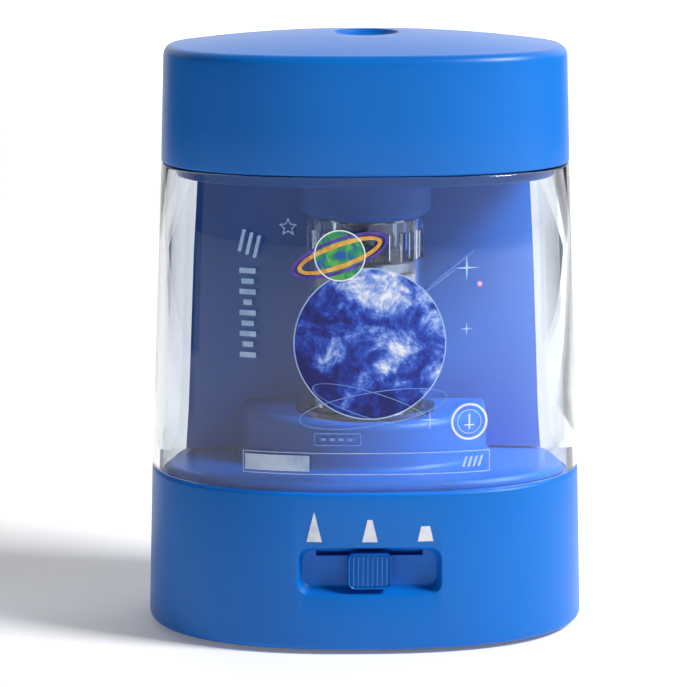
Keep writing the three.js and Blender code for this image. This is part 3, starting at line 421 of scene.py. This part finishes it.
# %% Base shell
base_rings = (
    quarter(BASE_FOOT, 0.0, 1.2, top=False)
    + [(15.0, 0.0, 0.0)]
    + quarter(BASE_TOP, 0.0, 0.55, steps=5)
    + [(BASE_TOP, 5.0, 5.0), (27.6, 5.0, 5.0), (27.6, BASE_WALL, BASE_WALL)]
    + [(BASE_FOOT, BASE_WALL, BASE_WALL)]
)
base_shell = make_piece(grow_skin(base_rings, "loop"), "base_case", blue_abs)
backing = block(-15, 15, -28.9, -25.8, 9.4, 21.4)
carve(base_shell, [cutter_from(backing)], "UNION")
RECESS_Z = 15.4
TRAY_X, TRAY_Z = 12.3, 3.45  # half sizes of the tray's floor
MOUTH_X, MOUTH_Z = 13.86, 5.1  # half sizes at its front
tray = block(-TRAY_X, TRAY_X, -32.0, -27.4, RECESS_Z - TRAY_Z, RECESS_Z + TRAY_Z)
for v in tray.verts:
    if v.co.y < -30:
        v.co.x *= MOUTH_X / TRAY_X
        v.co.z = RECESS_Z + (v.co.z - RECESS_Z) * MOUTH_Z / TRAY_Z
corner_edges = [e for e in tray.edges if abs(e.verts[0].co.y - e.verts[1].co.y) > 1]
bmesh.ops.bevel(
    tray, geom=corner_edges, affect="EDGES", offset=2.0, offset_type="OFFSET", segments=8,
    profile=0.5, material=-1, clamp_overlap=True,
)
floor_edges = [e for e in tray.edges if e.verts[0].co.y > -27.5 and e.verts[1].co.y > -27.5]
bmesh.ops.bevel(
    tray, geom=floor_edges, affect="EDGES", offset=0.35, segments=3, profile=0.5, material=-1,
    clamp_overlap=True,
)
slot_cut = block(-9.7, 9.7, -28.0, -25.0, RECESS_Z + 2.33, RECESS_Z + 3.32)
holes = [rod(1.2, 0.0, 14.0, x, y, 24) for x, y in ((-35.2, -2), (35.2, -2), (-11, 25.4), (11, 25.4))]
posts = [rod(3.0, 3.3, 28.0, x, y, 32) for x, y in ((-34.6, -2), (34.6, -2), (-11, 25.0), (11, 25.0))]
carve(base_shell, [cutter_from(b) for b in posts], "UNION")
carve(base_shell, [cutter_from(b) for b in [tray, slot_cut] + holes], bevel_mm=0.14)
dress(base_shell, "base", ["base_shell"])

# %% [markdown]
# ## Selector button
# The thumb slider is a small block with a raised frame and eight thin ribs. Its corners are
# rounded to 1.25 mm, so that they nest in the rounded corners of the tray at either end of its
# travel. The front face is inset and pushed back to leave the frame, and each rib is a slim block
# with rounded edges that stands on the sunken face.

# %% Selector button
THUMB_X, THUMB_Z = 3.85, 3.3  # half sizes
RIBS, RIB_PITCH = 8, 0.86
button = block(-THUMB_X, THUMB_X, -30.2, -27.75, RECESS_Z - THUMB_Z, RECESS_Z + THUMB_Z)
sides = [e for e in button.edges if abs(e.verts[0].co.y - e.verts[1].co.y) > 1]
bmesh.ops.bevel(
    button, geom=sides, affect="EDGES", offset=1.25, segments=8, profile=0.5, material=-1
)
face = min(button.faces, key=lambda f: f.calc_center_median().y)
bmesh.ops.inset_region(button, faces=[face], thickness=0.42, depth=0.0)
bmesh.ops.translate(button, vec=(0, 0.5, 0), verts=face.verts)
lip = [e for e in button.edges if all(v.co.y < -30.1 for v in e.verts)]
bmesh.ops.bevel(button, geom=lip, affect="EDGES", offset=0.14, segments=3, profile=0.5, material=-1)
for i in range(RIBS):
    x = (i - (RIBS - 1) / 2) * RIB_PITCH
    rib = block(x - 0.17, x + 0.17, -30.12, -29.6, RECESS_Z - 2.75, RECESS_Z + 2.75)
    bmesh.ops.bevel(
        rib, geom=list(rib.edges), affect="EDGES", offset=0.13, segments=3, profile=0.5, material=-1
    )
    spare = bpy.data.meshes.new("rib")
    rib.to_mesh(spare)
    button.from_mesh(spare)
    rib.free()
make_piece(button, "selector_thumb", blue_abs, "selector", ["selector_button"])

# %% [markdown]
# ## Deck with the D shaped pedestal
# The chamber floor is a low plinth with a rounded edge, and the pedestal on it covers the gears:
# half of a turned drum with a rolled top edge and a small fillet at its foot. The drum is spun,
# halved by a block, joined to the plinth and hollowed from below like the real moulding.

# %% Deck
plinth = grow_skin([(29.95, 3.0, 3.0)] + quarter(31.4, 3.0, 1.1), "caps")
deck = make_piece(plinth, "chamber_deck", inner_blue_abs)
DRUM_R, DRUM_TOP, DRUM_Y = 23.5, 40.0, PANEL_Y - 0.3
drum_profile = [(0, 30.0), (24.6, 30.0), (24.6, 31.38), (24.1, 31.5), (23.72, 31.85), (DRUM_R, 32.4)]
drum_profile += rolled_edge(DRUM_R, DRUM_TOP, 1.7, top=True) + [(0, DRUM_TOP)]
drum = make_piece(spun(drum_profile, 0, DRUM_Y, 128), "drum", blue_abs)
carve(drum, [cutter_from(block(-40, 40, DRUM_Y, 60, 10, 60))])
carve(deck, [drum], "UNION")
hollow = make_piece(rod(21.9, 20, 38.4, 0, DRUM_Y, 96), "hollow", blue_abs)
carve(hollow, [cutter_from(block(-40, 40, DRUM_Y + 1, 60, 10, 60))])
well = make_piece(grow_skin([(25, 6.2, 4.2), (40, 6.2, 4.2)], "caps"), "well", blue_abs)
carve(well, [cutter_from(block(-60, 60, -60, PANEL_Y + 1.6, 0, 90))])
tools = [rod(5.3, 30, 50, steps=48), block(-14, 14, 4, 12, 20, 31.5)]
carve(deck, [hollow, well] + [cutter_from(b) for b in tools])
carve(deck, [cutter_from(rod(2.0, 28.7, 39.0, s * 14.5, steps=32)) for s in (-1, 1)], "UNION")
screw_holes = [rod(0.9, 20, 35, s * 14.5, steps=24) for s in (-1, 1)]
carve(deck, [cutter_from(b) for b in screw_holes], sharp=38)
dress(deck, "base", ["deck"])

# %% [markdown]
# ## Rear housing
# The column behind the cutter holds the motor. Its plan follows the oval, a few millimetres
# inside the clear wall, and its front is a flat panel. The panel's upright edges are rounded a
# little, because that bright line is what the eye reads through the clear side wall.

# %% Rear housing
outer = grow_skin(
    [(31.7, 4.9, 2.9), (55.0, 4.9, 2.9), (83.4, 4.9, 2.9), (84.0, 5.2, 3.2), (84.2, 5.8, 3.8)], "caps"
)
housing = make_piece(outer, "motor_housing", inner_blue_abs)
carve(housing, [cutter_from(block(-60, 60, -60, PANEL_Y, 0, 120))])
room = make_piece(grow_skin([(30, 6.2, 4.2), (82.9, 6.2, 4.2)], "caps"), "room", blue_abs)
carve(room, [cutter_from(block(-60, 60, -60, PANEL_Y + 1.3, 0, 120))])
windows = [block(-13, 13, 6, PANEL_Y + 1.8, 20, 37.4), block(-2.3, 2.3, 6, 11, 77.8, 81.6)]
carve(housing, [room] + [cutter_from(b) for b in windows], bevel_mm=0.3)
dress(housing, "base", ["rear_housing"])

# %% [markdown]
# ## Clear barrel
# A plain oval tube with a 2.2 mm wall, open at both ends. Both surfaces are really there, so the
# edge lines and the bright rims come from refraction and not from painted lines.

# %% Barrel
barrel_rings = (
    quarter(BARREL_FOOT, 0.0, 0.3, steps=3, top=False)
    + [(z, 0.0, 0.0) for z in (44.0, 58.0, 72.0)]
    + quarter(BARREL_TOP, 0.0, 0.3, steps=3)
    + [(z, BARREL_WALL, BARREL_WALL) for z in (BARREL_TOP, 72.0, 58.0, 44.0, BARREL_FOOT)]
)
make_piece(
    grow_skin(barrel_rings, "loop"), "clear_barrel", clear_barrel, "barrel", ["barrel"]
)

# %% [markdown]
# ## Cap
# The cap is a deep cup with a tight radius round its top edge and a low crown that rises towards
# the middle. The pencil hole sits in a shallow dish. The crown is a row of ever smaller ovals
# lifted on a parabola, and the dish and bore are spun tools.

# %% Cap
CAP_ROUND, CROWN_RISE = 1.8, 2.55
crown = []
for scale in (0.985, 0.95, 0.9, 0.82, 0.72, 0.6, 0.46, 0.3, 0.14):
    crown.append((CAP_EDGE, CAP_ROUND, CAP_ROUND, scale, CROWN_RISE * (1 - scale * scale)))
cap_rings = (
    [(107.55, CAP_WALL, CAP_WALL), (CAP_FOOT, CAP_WALL, CAP_WALL)]
    + quarter(CAP_FOOT, 0.0, 0.3, steps=3, top=False)
    + [(95.0, 0.0, 0.0), (103.0, 0.0, 0.0)]
    + quarter(CAP_EDGE, 0.0, CAP_ROUND, steps=10)
    + crown
)
cap = make_piece(grow_skin(cap_rings, "caps"), "cap_case", blue_abs)
CAP_SCREWS = [(-27, -11), (27, -11), (-27, 11), (27, 11)]
carve(cap, [cutter_from(rod(2.8, 89.2, 108.0, x, y, 32)) for x, y in CAP_SCREWS], "UNION")
dish = [(0, 100), (BORE_R, 100), (BORE_R, 109.7), (5.0, 109.78), (5.5, 110.1), (5.95, 110.62)]
dish += [(6.2, 111.0), (6.6, 113), (0, 113)]
tools = [spun(dish)] + [rod(1.0, 80, 99, x, y, 24) for x, y in CAP_SCREWS]
carve(cap, [cutter_from(b) for b in tools], bevel_mm=0.12)
dress(cap, "cap", ["cap_shell"])

# %% [markdown]
# ## Cap plate with its boss
# Under the cap a shallow plug fits into the barrel, and a round boss hangs from it to lead the
# pencil down. The boss is spun with a rolled lower edge, its back is flat where it passes the
# rear housing, and a slot in the back lets the start plunger reach the pencil.

# %% Cap plate
plate = make_piece(
    grow_skin([(84.6, 2.95, 2.95), (84.72, 2.7, 2.7), (85.1, 2.5, 2.5), (88.9, 2.5, 2.5)], "caps"),
    "cap_plug", inner_blue_abs,
)
pocket = grow_skin([(86.4, 5.0, 5.0), (90.0, 5.0, 5.0)], "caps")
carve(plate, [cutter_from(pocket)])
BOSS_R, BOSS_FOOT = 12.2, 76.5
boss_profile = [(0, BOSS_FOOT)] + rolled_edge(BOSS_R, BOSS_FOOT, 1.6, top=False)
boss_profile += [(BOSS_R, 85.6), (0, 85.6)]
boss = make_piece(spun(boss_profile), "boss", blue_abs)
carve(boss, [cutter_from(block(-30, 30, PANEL_Y - 0.4, 40, 60, 100))])
carve(plate, [boss, cutter_from(rod(7.2, 85.5, 92.0))], "UNION")
bore = [(0, 70), (BORE_R, 70), (BORE_R, 83.0), (5.7, 83.0), (5.7, 95), (0, 95)]
screw_bore = [(0, 80), (2.5, 80), (2.5, 85.5), (1.5, 85.5), (1.5, 95), (0, 95)]
tools = [spun(bore, steps=72), block(-2.7, 2.7, AXIS_Y, 12, 70, 83.9)]
tools += [spun(screw_bore, x, y, 32) for x, y in CAP_SCREWS]
carve(plate, [cutter_from(b) for b in tools], sharp=38)
dress(plate, "cap", ["cap_plate"])

# %% [markdown]
# ## Guard cage
# A clear sleeve stands round the cutter so that no finger reaches it, with tall windows that let
# the shavings out. It is a spun tube with a foot, and long blocks turned about the axis cut a
# pair of windows each.

# %% Guard cage
tube = [(9.55, 40.3), (13.0, 40.3), (13.0, 41.3), (11.4, 41.7), (10.8, 42.5), (10.8, 76.2)]
tube += [(9.55, 76.2), (9.55, 40.3)]
cage = make_piece(spun(tube, steps=96), "cutter_guard", clear_guard)
tools = [block(-30, 30, PANEL_Y - 0.35, 40, 0, 120)]
for i in range(6):
    for z0, z1, half in ((45.5, 61.5, 1.75), (69.2, 74.2, 1.5)):
        window = block(-15, 15, -half, half, z0, z1)
        bmesh.ops.rotate(
            window, verts=window.verts, matrix=Matrix.Rotation((i + 0.5) * math.pi / 6, 3, "Z")
        )
        bmesh.ops.translate(window, vec=(0, AXIS_Y, 0), verts=window.verts)
        tools.append(window)
carve(cage, [cutter_from(b) for b in tools])
dress(cage, "base", ["guard_cage"])

# %% [markdown]
# ## Inks
# The decoration is printed on the clear wall: a big cloudy planet, a small ringed planet, stars,
# orbit lines and plain bars. The silver ink has a rainbow sheen, so its colour wanders between
# cool and warm greys. The planet is drawn by fine, slightly bent noise with clouds about 6 mm
# across, and a painted highlight lightens it towards the upper right, where the lamp falls.


# %% Ink materials
def set_stops(ramp, stops):
    elements = ramp.color_ramp.elements
    while len(elements) < len(stops):
        elements.new(0.5)
    for element, (position, colour) in zip(elements, stops):
        element.position = position
        element.color = linear(colour)


def ink(name, stops, size_mm, roughness=0.45, metallic=0.0, distortion=0.0, detail=5.0):
    material, tree, shader, where = new_material(name, Roughness=roughness, Metallic=metallic)
    noise = add_node(
        tree,
        "ShaderNodeTexNoise",
        {"Scale": grain_scale(size_mm), "Detail": detail, "Distortion": distortion, "Roughness": 0.62},
        Vector=where,
    )
    ramp = add_node(tree, "ShaderNodeValToRGB", Fac=noise.outputs["Fac"])
    set_stops(ramp, stops)
    tree.links.new(ramp.outputs["Color"], shader.inputs["Base Color"])
    bump = add_node(
        tree, "ShaderNodeBump", {"Strength": 0.2, "Distance": 0.00001}, Height=noise.outputs["Fac"]
    )
    tree.links.new(bump.outputs["Normal"], shader.inputs["Normal"])
    return material


def planet_clouds():
    """Deep sea blue under mottled cloud, with a painted highlight towards the upper right limb."""
    material, tree, shader, where = new_material("printed_planet_clouds", Roughness=0.45)
    large = add_node(
        tree,
        "ShaderNodeTexNoise",
        {"Scale": grain_scale(6.0), "Detail": 14.0, "Roughness": 0.70, "Distortion": 0.35},
        Vector=where,
    )
    # painted highlight: the planet is lifted lighter along X plus Z, towards the lamp at the upper right
    place = add_node(tree, "ShaderNodeSeparateXYZ", Vector=where)
    across = add_node(tree, "ShaderNodeMath", {"operation": "ADD"})
    tree.links.new(place.outputs["X"], across.inputs[0])
    tree.links.new(place.outputs["Z"], across.inputs[1])
    lean = add_node(
        tree,
        "ShaderNodeMapRange",
        {"From Min": 0.040, "From Max": 0.074, "To Min": -0.07, "To Max": 0.09},
        Value=across.outputs[0],
    )
    clouds_and_painted_light = add_node(tree, "ShaderNodeMath", {"operation": "ADD"})
    tree.links.new(large.outputs["Fac"], clouds_and_painted_light.inputs[0])
    tree.links.new(lean.outputs["Result"], clouds_and_painted_light.inputs[1])
    ramp = add_node(tree, "ShaderNodeValToRGB", Fac=clouds_and_painted_light.outputs[0])
    sea_to_cloud = [(0.40, "#08106a"), (0.47, "#14319f"), (0.53, "#2f5ac9"), (0.59, "#7f9fe8")]
    set_stops(ramp, sea_to_cloud + [(0.68, "#f0f4ff")])
    tree.links.new(ramp.outputs["Color"], shader.inputs["Base Color"])
    return material


planet_ink = planet_clouds()
strip_ink = ink("printed_pale_blue", [(0.3, "#8ea6cf"), (0.5, "#b4c6e2"), (0.7, "#c6d3ea")], 5.0, 0.4, 0.1)
silver_ink = ink(
    "printed_silver", [(0.3, "#c3cce0"), (0.5, "#e6e8ee"), (0.7, "#e3d6dc")], 4.0, 0.35, 0.25
)
rose_ink = ink("printed_rose", [(0.3, "#e59aa8"), (0.7, "#f3c3c9")], 2.0)
white_ink = ink("printed_white", [(0.3, "#eef2fb"), (0.7, "#ffffff")], 3.0)
ice_ink = ink("printed_ice_blue", [(0.3, "#8fb4e6"), (0.7, "#bcd6f4")], 3.0)
line_ink = ink("printed_fine_line", [(0.3, "#5d86d8"), (0.7, "#7fa2e4")], 3.0)
gold_ink = ink("printed_ochre", [(0.35, "#d98a2b"), (0.65, "#f0c766")], 2.0, distortion=1.0)
green_ink = ink(
    "printed_green", [(0.42, "#1c5fae"), (0.52, "#2f9a4d"), (0.66, "#6cc06a")], 3.4, distortion=1.2
)
violet_ink = ink("printed_violet", [(0.35, "#3c2a86"), (0.65, "#6a4fc0")], 2.0)
print("inks ready")

# %% [markdown]
# ## Printed shapes
# Each print is first drawn flat, as a polygon in the X and Z of the front. It is then sliced into
# narrow strips so that it can bend, laid on the wall a few hundredths of a millimetre proud, and
# given a thin body with solidify.


# %% Laying flat shapes on the wall
def lay_on_front(outlines, name, material, body, proud):
    """outlines: lists of (x, z) points, each one closed flat shape; a pair (outer, inner) is a frame."""
    bm = bmesh.new()
    for outline in outlines:
        loops = []
        for points in outline if isinstance(outline, tuple) else (outline,):
            verts = [bm.verts.new((x, 0.0, z)) for x, z in points]
            loops.append([bm.edges.new(pair) for pair in zip(verts, verts[1:] + verts[:1])])
        if len(loops) == 2:
            bmesh.ops.bridge_loops(bm, edges=loops[0] + loops[1])
        else:
            bmesh.ops.edgeloop_fill(bm, edges=loops[0])
    bmesh.ops.triangulate(bm, faces=bm.faces)
    xs = [v.co.x for v in bm.verts]
    x = math.floor(min(xs)) + 0.8
    while x < max(xs):
        geom = list(bm.verts) + list(bm.edges) + list(bm.faces)
        bmesh.ops.bisect_plane(bm, geom=geom, plane_co=(x, 0, 0), plane_no=(1, 0, 0))
        x += 0.8
    for v in bm.verts:
        v.co.y = front_y(v.co.x, v.co.z) - proud
    bmesh.ops.recalc_face_normals(bm, faces=bm.faces)
    if sum(f.normal.y * f.calc_area() for f in bm.faces) > 0:
        bmesh.ops.reverse_faces(bm, faces=bm.faces)
    bmesh.ops.solidify(bm, geom=list(bm.faces), thickness=0.02)
    make_piece(bm, name, material, body)


def round_points(cx, cz, rx, rz=None, turn=0.0, count=72):
    rz = rx if rz is None else rz
    out = []
    for i in range(count):
        t = i * math.tau / count
        u, w = rx * math.cos(t), rz * math.sin(t)
        c, s = math.cos(turn), math.sin(turn)
        out.append((cx + u * c - w * s, cz + u * s + w * c))
    return out


def band_ring(cx, cz, rx, rz, line, turn=0.0, count=96):
    return (
        round_points(cx, cz, rx, rz, turn, count),
        round_points(cx, cz, rx - line, rz - line, turn, count),
    )


def sparkle(cx, cz, reach, waist):
    out = []
    for i in range(8):
        r = reach if i % 2 == 0 else waist
        out.append((cx + r * math.cos(i * math.pi / 4), cz + r * math.sin(i * math.pi / 4)))
    return out


def five_points(cx, cz, reach):
    out = []
    for i in range(10):
        r, t = reach if i % 2 == 0 else reach * 0.45, math.pi / 2 + i * math.pi / 5
        out.append((cx + r * math.cos(t), cz + r * math.sin(t)))
    return out


def leaning_bar(cx, cz, width, height, lean):
    return [
        (cx - width / 2 - lean, cz - height / 2), (cx + width / 2 - lean, cz - height / 2),
        (cx + width / 2 + lean, cz + height / 2), (cx - width / 2 + lean, cz + height / 2),
    ]


def stroke(x0, z0, x1, z1, line):
    d = Vector((x1 - x0, z1 - z0)).normalized() * line / 2
    return [(x0 - d.y, z0 + d.x), (x0 + d.y, z0 - d.x), (x1 + d.y, z1 - d.x), (x1 - d.y, z1 + d.x)]


# %% [markdown]
# ## Planet, ringed planet and stars
# The prints lie in a fixed order, each a few hundredths of a millimetre in front of the last, so
# that overlapping inks never share a surface. The big planet is one disc with a thin pale rim. The
# small one is a disc with two tilted rings, each an oval frame. Stars have four long points, except
# one outlined star with five, and plain bars stand where a printed mark would be.

# %% Planet, ringed planet and stars
PLANET = (0.0, 57.1)
lay_on_front([round_points(*PLANET, 13.5, count=128)], "print_planet", planet_ink, "barrel", 0.04)
lay_on_front([band_ring(*PLANET, 13.72, 13.72, 0.2, count=128)], "print_planet_rim", ice_ink, "barrel", 0.06)
SMALL = (-5.4, 73.0)
lay_on_front([round_points(*SMALL, 4.4)], "print_small_planet", green_ink, "barrel", 0.08)
lay_on_front([band_ring(*SMALL, 8.0, 2.3, 0.8, 0.35)], "print_small_ring", gold_ink, "barrel", 0.10)
lay_on_front([band_ring(*SMALL, 9.2, 3.1, 0.6, 0.35)], "print_outer_ring", violet_ink, "barrel", 0.12)
lay_on_front([band_ring(*SMALL, 4.6, 4.6, 0.22)], "print_small_rim", white_ink, "barrel", 0.14)
stars = [sparkle(17.4, 70.5, 2.4, 0.26), sparkle(17.4, 59.5, 1.3, 0.18), sparkle(10.8, 43.2, 1.9, 0.24)]
stars.append(tuple(five_points(-14.6, 78.0, reach) for reach in (1.7, 1.35)))
lay_on_front(stars, "print_stars", ice_ink, "barrel", 0.05)
lay_on_front([round_points(19.8, 67.5, 0.45, count=20)], "print_dot", rose_ink, "barrel", 0.05)
bars = [leaning_bar(-22.9 + 1.35 * i, 75.3 - 0.5 * i, 0.62, 4.0, 0.45) for i in range(3)]
for i, length in enumerate((2.9, 2.2, 2.9, 1.5, 2.9, 2.2, 2.9, 1.9, 2.9)):
    bars.append(leaning_bar(-21.9, 69.9 - 1.9 * i, length, 0.95, 0.0))
lay_on_front(bars, "print_bars", ice_ink, "barrel", 0.05)

# %% [markdown]
# ## Orbit lines and the strip below
# Thin orbits cross the foot of the planet, a small ring marks its lower right, and a long outlined
# strip with a filled end and a few leaning bars runs above the seam.

# %% Orbit lines, ring and strip
orbits = [band_ring(0.6, 45.3, 13.5, 3.1, 0.16, 0.16), band_ring(0.2, 46.0, 11.0, 2.4, 0.14, -0.3)]
orbits += [stroke(15.2, 70.2, 8.0, 65.0, 0.22), stroke(18.8, 73.6, 10.6, 67.4, 0.16)]
orbits += [(  # thin outlined label with four short marks in it
    [(-10.0, 40.9), (-1.6, 40.9), (-1.6, 38.6), (-10.0, 38.6)],
    [(-9.85, 40.75), (-1.75, 40.75), (-1.75, 38.75), (-9.85, 38.75)],
)]
orbits += [leaning_bar(-8.4 + 1.6 * i, 39.75, 0.9, 0.5, 0.0) for i in range(4)]
lay_on_front(orbits, "print_orbits", line_ink, "barrel", 0.045)
lay_on_front(
    [band_ring(18.0, 42.6, 3.35, 3.35, 0.42), band_ring(18.0, 42.6, 2.2, 2.2, 0.10)]
    + [stroke(18.0, 41.2, 18.0, 44.0, 0.28), stroke(17.1, 42.0, 18.9, 42.0, 0.22)],
    "print_round_mark", silver_ink, "barrel", 0.05,
)
strip = [(
    [(-22.9, 37.3), (21.8, 37.3), (21.8, 33.3), (-22.9, 33.3)],
    [(-22.76, 37.16), (21.66, 37.16), (21.66, 33.44), (-22.76, 33.44)],
)]
strip += [leaning_bar(-16.7, 35.3, 11.6, 2.9, 0.0)]
strip += [leaning_bar(17.2 + 0.95 * i, 35.3, 0.42, 1.9, 0.3) for i in range(4)]
lay_on_front(strip, "print_strip", strip_ink, "barrel", 0.05)

# %% [markdown]
# ## Point icons
# Three silver shapes over the selector show the point it will cut: a sharp triangle, a tall
# trapezoid and a short one. They are printed on the base, so they ride with it.

# %% Point icons
STEP = 10.08
icons = [
    [(-STEP - 1.38, 20.95), (-STEP + 1.38, 20.95), (-STEP + 0.06, 26.3), (-STEP - 0.06, 26.3)],
    [(-1.4, 20.95), (1.4, 20.95), (0.44, 25.05), (-0.44, 25.05)],
    [(STEP - 1.42, 20.95), (STEP + 1.42, 20.95), (STEP + 0.8, 23.75), (STEP - 0.8, 23.75)],
]
lay_on_front(icons, "print_point_icons", silver_ink, "base", 0.03)

# %% [markdown]
# ## Cone springs
# Each cell is pressed by a conical wire spring against its flat end, and a smaller one pushes the
# start plunger back. The wire is a small circle spun along its axis while it is lifted, which is
# how a screw thread is made; the cone comes from scaling the turns towards the tip. The plunger's
# spring has one end on the plunger and one on the switch; it is wound to fill the gap between them.


# %% Cone springs
def cone_spring(name, coil, wire, turns, lift, turn, place):
    """coil and wire are radii; the spring is wound up Z, then turned (axis, degrees) and placed."""
    bm = bmesh.new()
    bmesh.ops.create_circle(bm, cap_ends=True, radius=wire, segments=8)
    bmesh.ops.rotate(bm, verts=bm.verts, matrix=Matrix.Rotation(math.pi / 2, 3, "X"))
    bmesh.ops.translate(bm, vec=(coil, 0, 0), verts=bm.verts)
    steps = int(24 * turns)
    bmesh.ops.spin(
        bm, geom=list(bm.verts) + list(bm.edges) + list(bm.faces), cent=(0, 0, 0), axis=(0, 0, 1),
        angle=math.tau * turns, steps=steps, dvec=(0, 0, lift / steps),
    )
    for v in bm.verts:
        shrink = 1 - 0.4 * max(0.0, v.co.z) / lift
        v.co.x *= shrink
        v.co.y *= shrink
    axis, degrees = turn
    bmesh.ops.rotate(bm, verts=bm.verts, matrix=Matrix.Rotation(math.radians(degrees), 3, axis))
    bmesh.ops.translate(bm, vec=place, verts=bm.verts)
    return make_piece(bm, name, steel)


for name, side, y in (("cell_spring_front", -1, -2.6), ("cell_spring_rear", 1, 12.4)):
    spring = cone_spring(name, 4.0, 0.3, 2.5, 1.45, ("Y", -side * 90), (side * 26.35, y, 10.6))
    dress(spring, "base")

TAIL_Y, SWITCH_Y, PLUNGER_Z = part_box("start_plunger")[1][1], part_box("start_switch")[0][1], 0.0797
tail_mm, gap_mm = TAIL_Y * 1000, (SWITCH_Y - TAIL_Y) * 1000
plunger_spring = cone_spring(
    "plunger_spring", 1.6, 0.14, 3.0, gap_mm - 0.28, ("X", -90), (0, tail_mm + 0.16, PLUNGER_Z * 1000)
)
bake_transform(plunger_spring)
print("plunger spring fills", round(gap_mm, 2), "mm")

# %% [markdown]
# ## Finishes for the CAD nodes that stay
# Gears, shafts, screws, cells and the black parts keep their CAD shape. Each takes the finish of
# its record slot.

# %% CAD node finishes
finishes = {
    "blue_shell": blue_abs,
    "clear_plastic": clear_guard,
    "black_plastic": black_abs,
    "white_acetal": white_acetal,
    "steel": steel,
    "tool_steel": tool_steel,
    "brass": brass,
    "rubber": black_rubber,
    "circuit_green": board_green,
    "cell_jacket": cell_jacket,
}
for part in frame["record"]["subparts"]:
    mesh = nodes[part["node"]].data
    if mesh.materials:
        mesh.materials[0] = finishes[part["material_slot"]]
    else:
        mesh.materials.append(finishes[part["material_slot"]])

# %% [markdown]
# ## Floor and backdrop
# A pale floor and a glowing white card behind give the plain studio white. The card also shines
# through the clear side walls. The floor has a trace of glow of its own, so it stays white where
# the lamp fades and still takes a soft shadow. A dark flag on the left and a grey one on the
# right keep white out of the flanks and draw the edges of the clear wall. They are outside the
# camera's own view, but they can be seen from other sides, and from behind they hide the object.

# %% Floor and backdrop
def stage_sheet(name, half_x, half_y, place, turn, glow, paint_hex="#f8f8f8"):
    bm = bmesh.new()
    bmesh.ops.create_grid(bm, x_segments=2, y_segments=2, size=1.0)
    bmesh.ops.scale(bm, vec=(half_x, half_y, 1.0), verts=bm.verts)
    axis, degrees = turn
    bmesh.ops.rotate(bm, verts=bm.verts, matrix=Matrix.Rotation(math.radians(degrees), 3, axis))
    bmesh.ops.translate(bm, verts=bm.verts, vec=place)
    mesh = bpy.data.meshes.new(name)
    bm.to_mesh(mesh)
    bm.free()
    sheet = bpy.data.objects.new(name, mesh)
    bpy.context.scene.collection.objects.link(sheet)
    paint = new_material(
        name + "_paint",
        Base_Color=linear(paint_hex),
        Roughness=0.8,
        Specular_IOR_Level=0.1,
        Emission_Color=linear("#ffffff"),
        Emission_Strength=glow,
    )[0]
    mesh.materials.append(paint)


stage_sheet("studio_floor", 3.0, 3.0, (0, 0, 0), ("X", 0), 0.15)
stage_sheet("studio_backdrop", 3.0, 1.0, (0, 1.0, 1.0), ("X", 90), 0.47)
stage_sheet("studio_flag_left", 0.09, 0.20, (-0.30, 0.17, 0.11), ("Y", 90), 0.0, "#4a5058")
stage_sheet("studio_flag_right", 0.07, 0.20, (0.30, 0.22, 0.09), ("Y", 90), 0.0, "#9298a0")

# %% [markdown]
# ## Light and camera
# One large soft lamp stands high on the right in front: its rays come about 70 degrees from the
# right and 42 degrees down, so the selector tray throws its own shadow and the left flank turns
# deep blue. A grey surrounding fills the rest. The lens is long, as for a product shot, and looks
# about ten degrees down.


# %% Light and camera
def area_lamp(name, place, target, size, power):
    lamp = bpy.data.lights.new(name, "AREA")
    lamp.shape = "RECTANGLE"
    lamp.size, lamp.size_y = size
    lamp.energy = power
    holder = bpy.data.objects.new(name, lamp)
    bpy.context.scene.collection.objects.link(holder)
    holder.location = place
    holder.rotation_euler = (Vector(target) - Vector(place)).to_track_quat("-Z", "Y").to_euler()


area_lamp("key_right", (0.943, -0.343, 0.953), (0, 0, 0.05), (0.35, 0.35), 22.5)

world = bpy.data.worlds.new("studio")
bpy.context.scene.world = world
world.use_nodes = True
surround = world.node_tree.nodes["Background"]
surround.inputs["Color"].default_value = linear("#ffffff")
surround.inputs["Strength"].default_value = 0.08
bpy.context.scene.view_settings.view_transform = "Standard"

camera_data = bpy.data.cameras.new("camera")
camera_data.sensor_width = 36.0
camera_data.lens = 162.4
camera_data.clip_start = 0.01
camera = bpy.data.objects.new("camera", camera_data)
bpy.context.scene.collection.objects.link(camera)
camera.location = (-0.01856, -0.57470, 0.15601)
camera.rotation_euler = (math.radians(79.74), 0, math.radians(-1.44))
bpy.context.scene.camera = camera

# %% [markdown]
# ## Finish
# The skins above only refine the CAD shapes, so their sizes should agree with the CAD model to a
# few hundredths of a millimetre. The script ends by bringing the view layer up to date.

# %% Finish
bpy.context.view_layer.update()
